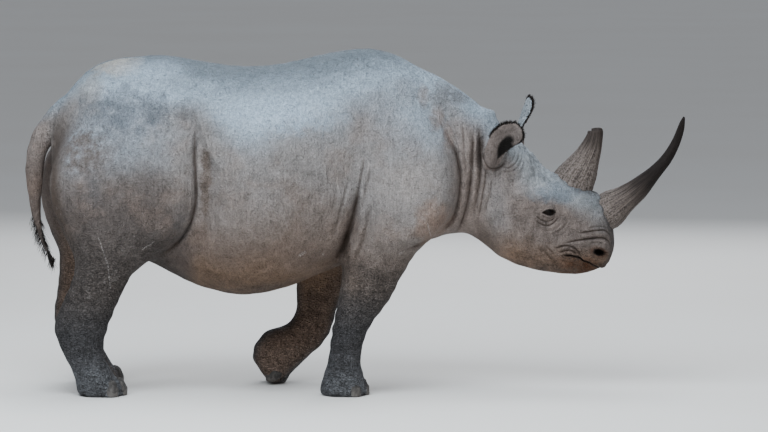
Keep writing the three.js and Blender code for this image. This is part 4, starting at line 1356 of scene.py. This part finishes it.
horn_finish = Finish("horn", specular_ior_level=0.18)
fibre = horn_finish.node("Attribute", {"attribute_name": "fibre"}, out="Vector")
along = horn_finish.node("SeparateXYZ", {}, {0: fibre}, out=2)  # metres from the base
threads = horn_finish.noise(horn_finish.stretched(fibre, (15, 15, 7)), 1.0, detail=6, rough=0.7)
hairs = horn_finish.noise(horn_finish.stretched(fibre, (60, 60, 24)), 1.0, detail=3, rough=0.6)
crumbs = horn_finish.noise(horn_finish.place(), 130, detail=5, rough=0.75)
bands = horn_finish.noise(horn_finish.place(), 11, detail=3)
worn = horn_finish.ease(along + (bands - 0.5) * 0.10, 0.05, 0.29)
horn_colour = horn_finish.mix(horn_finish.ease(threads, 0.36, 0.64), HORN_DARK, HORN_BROWN)
dusty = horn_finish.ease(crumbs * 0.8 + threads * 0.3, 0.44, 0.70) * (1 - worn)
horn_colour = horn_finish.mix(dusty * 0.9, horn_colour, HORN_DUST)
tip = horn_finish.ease(along + (bands - 0.5) * 0.14, 0.13, 0.36)
horn_colour = horn_finish.mix(tip * 0.85, horn_colour, HORN_TIP)
horn_relief = horn_finish.bump(hairs, 0.0022)
horn_relief = horn_finish.bump(crumbs * (1 - worn), 0.0060, horn_relief)
horn_roughness = 0.58 + crumbs * 0.25 + dusty * 0.1
for name, sections, seed, chipped, worn_away in (
    ("horn_front", FRONT_HORN, 21, 0.0, 0.025),
    ("horn_rear", REAR_HORN, 31, 0.20, -0.05),
):
    horn_points, fibres = horn(sections, seed, chipped)
    fibres[..., 2] += worn_away
    rows = len(horn_points) // HORN_AROUND
    horn_piece = piece_of(name + "_fibres", *outwards(horn_points, capped(rows, HORN_AROUND)))
    layer = horn_piece.data.attributes.new("fibre", "FLOAT_VECTOR", "POINT")
    layer.data.foreach_set("vector", fibres.reshape(-1).astype(np.float32))
    horn_finish.dress(horn_piece, base_color=horn_colour, roughness=horn_roughness, normal=horn_relief)
    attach(horn_piece, "root")
    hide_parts(name)


# ---- Nails ----
# Three broad hooves of nail are let into the front of each foot, domed, finely furrowed and caked
# with dust. Each is the smooth surface round its solid, a little swollen.
NAIL_DARK = (0.040, 0.038, 0.038)
NAIL_MIDDLE = (0.080, 0.074, 0.070)
NAIL_PALE = (0.15, 0.142, 0.135)
NAIL_VOXEL, NAIL_ROUND, NAIL_SWELL = 0.0025, 0.005, 0.0012
NAIL_WAVES = 0.0007  # how deep the furrows down the nail are

nail_finish = Finish("nail", specular_ior_level=0.4)
nail_place = nail_finish.place()
nail_grain = nail_finish.noise(nail_finish.stretched(nail_place, (160, 160, 14)), 1.0, detail=4, rough=0.6)
nail_dirt = nail_finish.noise(nail_place, 60, detail=5, rough=0.65)
nail_z = nail_finish.node("SeparateXYZ", {}, {0: nail_place}, out=2)
caked = nail_finish.ease(nail_dirt + nail_finish.ease(nail_z, 0.05, 0.0) * 0.25, 0.45, 0.72)
nail_colour = nail_finish.mix(nail_grain * 0.6, NAIL_DARK, NAIL_MIDDLE)
nail_colour = nail_finish.mix(caked * 0.8, nail_colour, NAIL_PALE)
nail_relief = nail_finish.bump(nail_grain, 0.0016)
nail_roughness = 0.5 + nail_dirt * 0.35
for node in NAILS:
    shape = Field([solid_of(node)], NAIL_VOXEL, 6, *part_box(node)).smooth(NAIL_ROUND)
    shape.values -= NAIL_SWELL
    nail_points, nail_faces = shape.surface()
    waves = NAIL_WAVES * lumps(nail_points * [1, 1, 0.3], 0.012, 7)
    nail_points += outward(nail_points, nail_faces) * waves[:, None]
    nail_points[:, 2] = np.maximum(nail_points[:, 2], 0)
    nail = piece_of(node.replace("nail", "hoof"), nail_points, nail_faces)
    nail_finish.dress(nail, base_color=nail_colour, roughness=nail_roughness, normal=nail_relief)
    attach(nail, "root")
    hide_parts(node)


# ---- Hair ----
# The hide is bare but for stiff dark hair: a fringe round the rim of each ear, two rows of bristles on
# the end of the tail, and lashes. Every hair is a thin three-sided spike, rooted in the hide.
HAIR_BLACK = (0.012, 0.010, 0.010)
HAIR_BROWN = (0.055, 0.042, 0.034)
HAIR_RINGS = (0.0, 0.4, 0.75)  # along the hair
HAIR_CORNERS = 10  # three for each ring, and the tip
HAIR_PATCH = 0.003  # of the map, for each hair
EAR_HAIRS, EAR_HAIR_LONG, EAR_HAIR_WIDE = 1500, (0.006, 0.017), (0.0014, 0.0026)
TAIL_HAIRS, TAIL_HAIR_LONG, TAIL_HAIR_WIDE = 520, (0.02, 0.055), (0.0012, 0.0022)
LASHES, LASH_LONG, LASH_WIDE = 60, (0.006, 0.012), 0.0007
EAR_HAIR_BEND, TAIL_HAIR_BEND, LASH_BEND = np.array([(0, 0, 0.12), (0, 0, -0.15), (0, 0, -0.2)])

hair_finish = Finish("hair", roughness=0.55, specular_ior_level=0.4)
hair_tone = hair_finish.noise(hair_finish.place(), 90, detail=2)
hair_colour = hair_finish.mix(hair_finish.ease(hair_tone, 0.4, 0.7), HAIR_BLACK, HAIR_BROWN)


def unwrap(places):
    """The hide's own map: along the body, and the way round its long middle line."""
    along = (places[:, 0] - box_low[0]) / body_length
    turn = np.arctan2(places[:, 1], places[:, 2] - 0.6 * body_height) / (2 * math.pi) + 0.5
    return np.stack([along, turn], axis=1) * 0.98 + 0.01


def spike_faces():
    """The triangles of one hair: its foot, the bands between its rings, and the fan round its tip."""
    faces = [(0, 2, 1)]
    for ring in (0, 3):
        for corner in range(3):
            a, b = ring + corner, ring + (corner + 1) % 3
            faces += [(a, b, b + 3), (a, b + 3, a + 3)]
    return np.array(faces + [(6 + corner, 6 + (corner + 1) % 3, 9) for corner in range(3)])


def hairs_of(name, roots, ways, lengths, widths, droop, seed):
    """Spikes from arrays of roots and directions: three rings of three corners and a tip, bent by their
    droop as the square of the way along, and each mapped to its own small patch."""
    random = np.random.default_rng(seed)
    count = len(roots)
    ways = ways / np.linalg.norm(ways, axis=1, keepdims=True)
    side = np.cross(ways, random.normal(size=(count, 3)))
    side /= np.linalg.norm(side, axis=1, keepdims=True)
    other = np.cross(ways, side)
    rings, local = [], []
    for share in HAIR_RINGS:
        centre = roots + (ways * (share * lengths[:, None]) + droop * (share ** 2 * lengths[:, None]))
        reach = widths[:, None] / 2 * (1 - 0.75 * share)
        for corner in range(3):
            turn = corner * 2 * math.pi / 3
            rings.append(centre + reach * (math.cos(turn) * side + math.sin(turn) * other))
            local.append((corner / 2 - 0.5, share - 0.5))
    rings.append(roots + (ways + droop) * lengths[:, None])
    local.append((0, 0.5))
    faces = np.arange(count)[:, None, None] * HAIR_CORNERS + spike_faces()
    piece = piece_of(name, *outwards(np.stack(rings, axis=1).reshape(-1, 3), faces.reshape(-1, 3)))
    spots = np.repeat(unwrap(roots), HAIR_CORNERS, axis=0)
    spots += np.tile(np.array(local) * HAIR_PATCH, (count, 1))
    uv = piece.data.uv_layers.new(name="OFBake")
    loops = np.empty(len(piece.data.loops), np.int32)
    piece.data.loops.foreach_get("vertex_index", loops)
    uv.data.foreach_set("uv", spots[loops].astype(np.float32).ravel())
    hair_finish.dress(piece, base_color=hair_colour)
    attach(piece, "root")


# A fringe all round the rim of each ear's leaf.
for side in SIDES:
    random = np.random.default_rng(40 + SIDES[side])
    root, directions = ear_frame(side)
    run = random.uniform(0, 1, EAR_HAIRS)
    rear = run < 0.5
    u = np.clip(np.where(rear, 0.62 + 0.8 * run, 1.6 - 1.2 * run), 0.3, 0.999)
    v = np.where(rear, -1.0, 1.0)
    rim, inward = ear_leaf(u, v), ear_leaf(np.clip(u - 0.12, 0, 1), v * 0.55)
    way = rim - inward
    way /= np.linalg.norm(way, axis=1, keepdims=True)
    way += random.normal(scale=0.28, size=way.shape)
    rim += random.normal(scale=0.0022, size=rim.shape) - 0.003 * way
    lengths = random.uniform(*EAR_HAIR_LONG, EAR_HAIRS) * (0.6 + 0.8 * ease(u, 0.5, 0.95))
    widths = random.uniform(*EAR_HAIR_WIDE, EAR_HAIRS)
    hairs_of("ear_fringe_" + side, root + rim @ directions, way @ directions, lengths, widths,
             EAR_HAIR_BEND, 50 + SIDES[side])

# Bristles in front of and behind the tail's lower end, and all round its tip.
tail_low, tail_high = (np.array(corner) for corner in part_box("tail"))
random = np.random.default_rng(60)
tail_run = tail_low[2] + 0.27 * (tail_high[2] - tail_low[2])
normals = np.empty((len(skin.data.vertices), 3), np.float32)
skin.data.vertex_normals.foreach_get("vector", normals.ravel())
on_tail = (np.abs(tail_field.at(skin_points)) < 0.008) & (skin_points[:, 2] < tail_run)
on_tail &= np.all((skin_points > tail_low - 0.02) & (skin_points < tail_high + 0.02), axis=1)
on_tail &= (np.abs(normals[:, 0]) > 0.75) | (skin_points[:, 2] < tail_low[2] + 0.03)
chosen = random.choice(np.flatnonzero(on_tail), TAIL_HAIRS)
tail_roots = skin_points[chosen] + random.normal(scale=0.002, size=(TAIL_HAIRS, 3))
tail_roots -= 0.002 * normals[chosen]
tail_way = 0.55 * normals[chosen] + [0.02, 0, -1.0] + random.normal(scale=0.14, size=(TAIL_HAIRS, 3))
lengths = random.uniform(*TAIL_HAIR_LONG, TAIL_HAIRS)
widths = random.uniform(*TAIL_HAIR_WIDE, TAIL_HAIRS)
hairs_of("tail_bristles", tail_roots, tail_way, lengths, widths, TAIL_HAIR_BEND, 61)

# Lashes along the upper lid.
for side in SIDES:
    random = np.random.default_rng(70 + SIDES[side])
    ahead = random.uniform(-0.85, 0.85, LASHES) * LID_WIDE
    rise = LID_UPPER * (1 - (ahead / LID_WIDE) ** 2) + LID_RISE + 0.002
    out = np.sqrt(EYE_RADIUS ** 2 - ahead ** 2 - rise ** 2)
    turned = [1, SIDES[side], 1]
    way = (ahead[:, None] * eye_ahead + rise[:, None] * eye_up + out[:, None] * EYE_LOOK) / EYE_RADIUS
    centre = eye_spots[side] * turned
    lash_roots = from_head((centre + way * (EYE_RADIUS + LID_THICK - 0.0005)) * turned)
    stray = random.normal(scale=0.12, size=way.shape)
    lash_ends = from_head((centre + way + 0.35 * EYE_LOOK + [0, 0, -0.12] + stray) * turned)
    lash_way = lash_ends - from_head(centre[None] * turned)
    hairs_of("lashes_" + side, lash_roots, lash_way, random.uniform(*LASH_LONG, LASHES),
             np.full(LASHES, LASH_WIDE), LASH_BEND, 71 + SIDES[side])
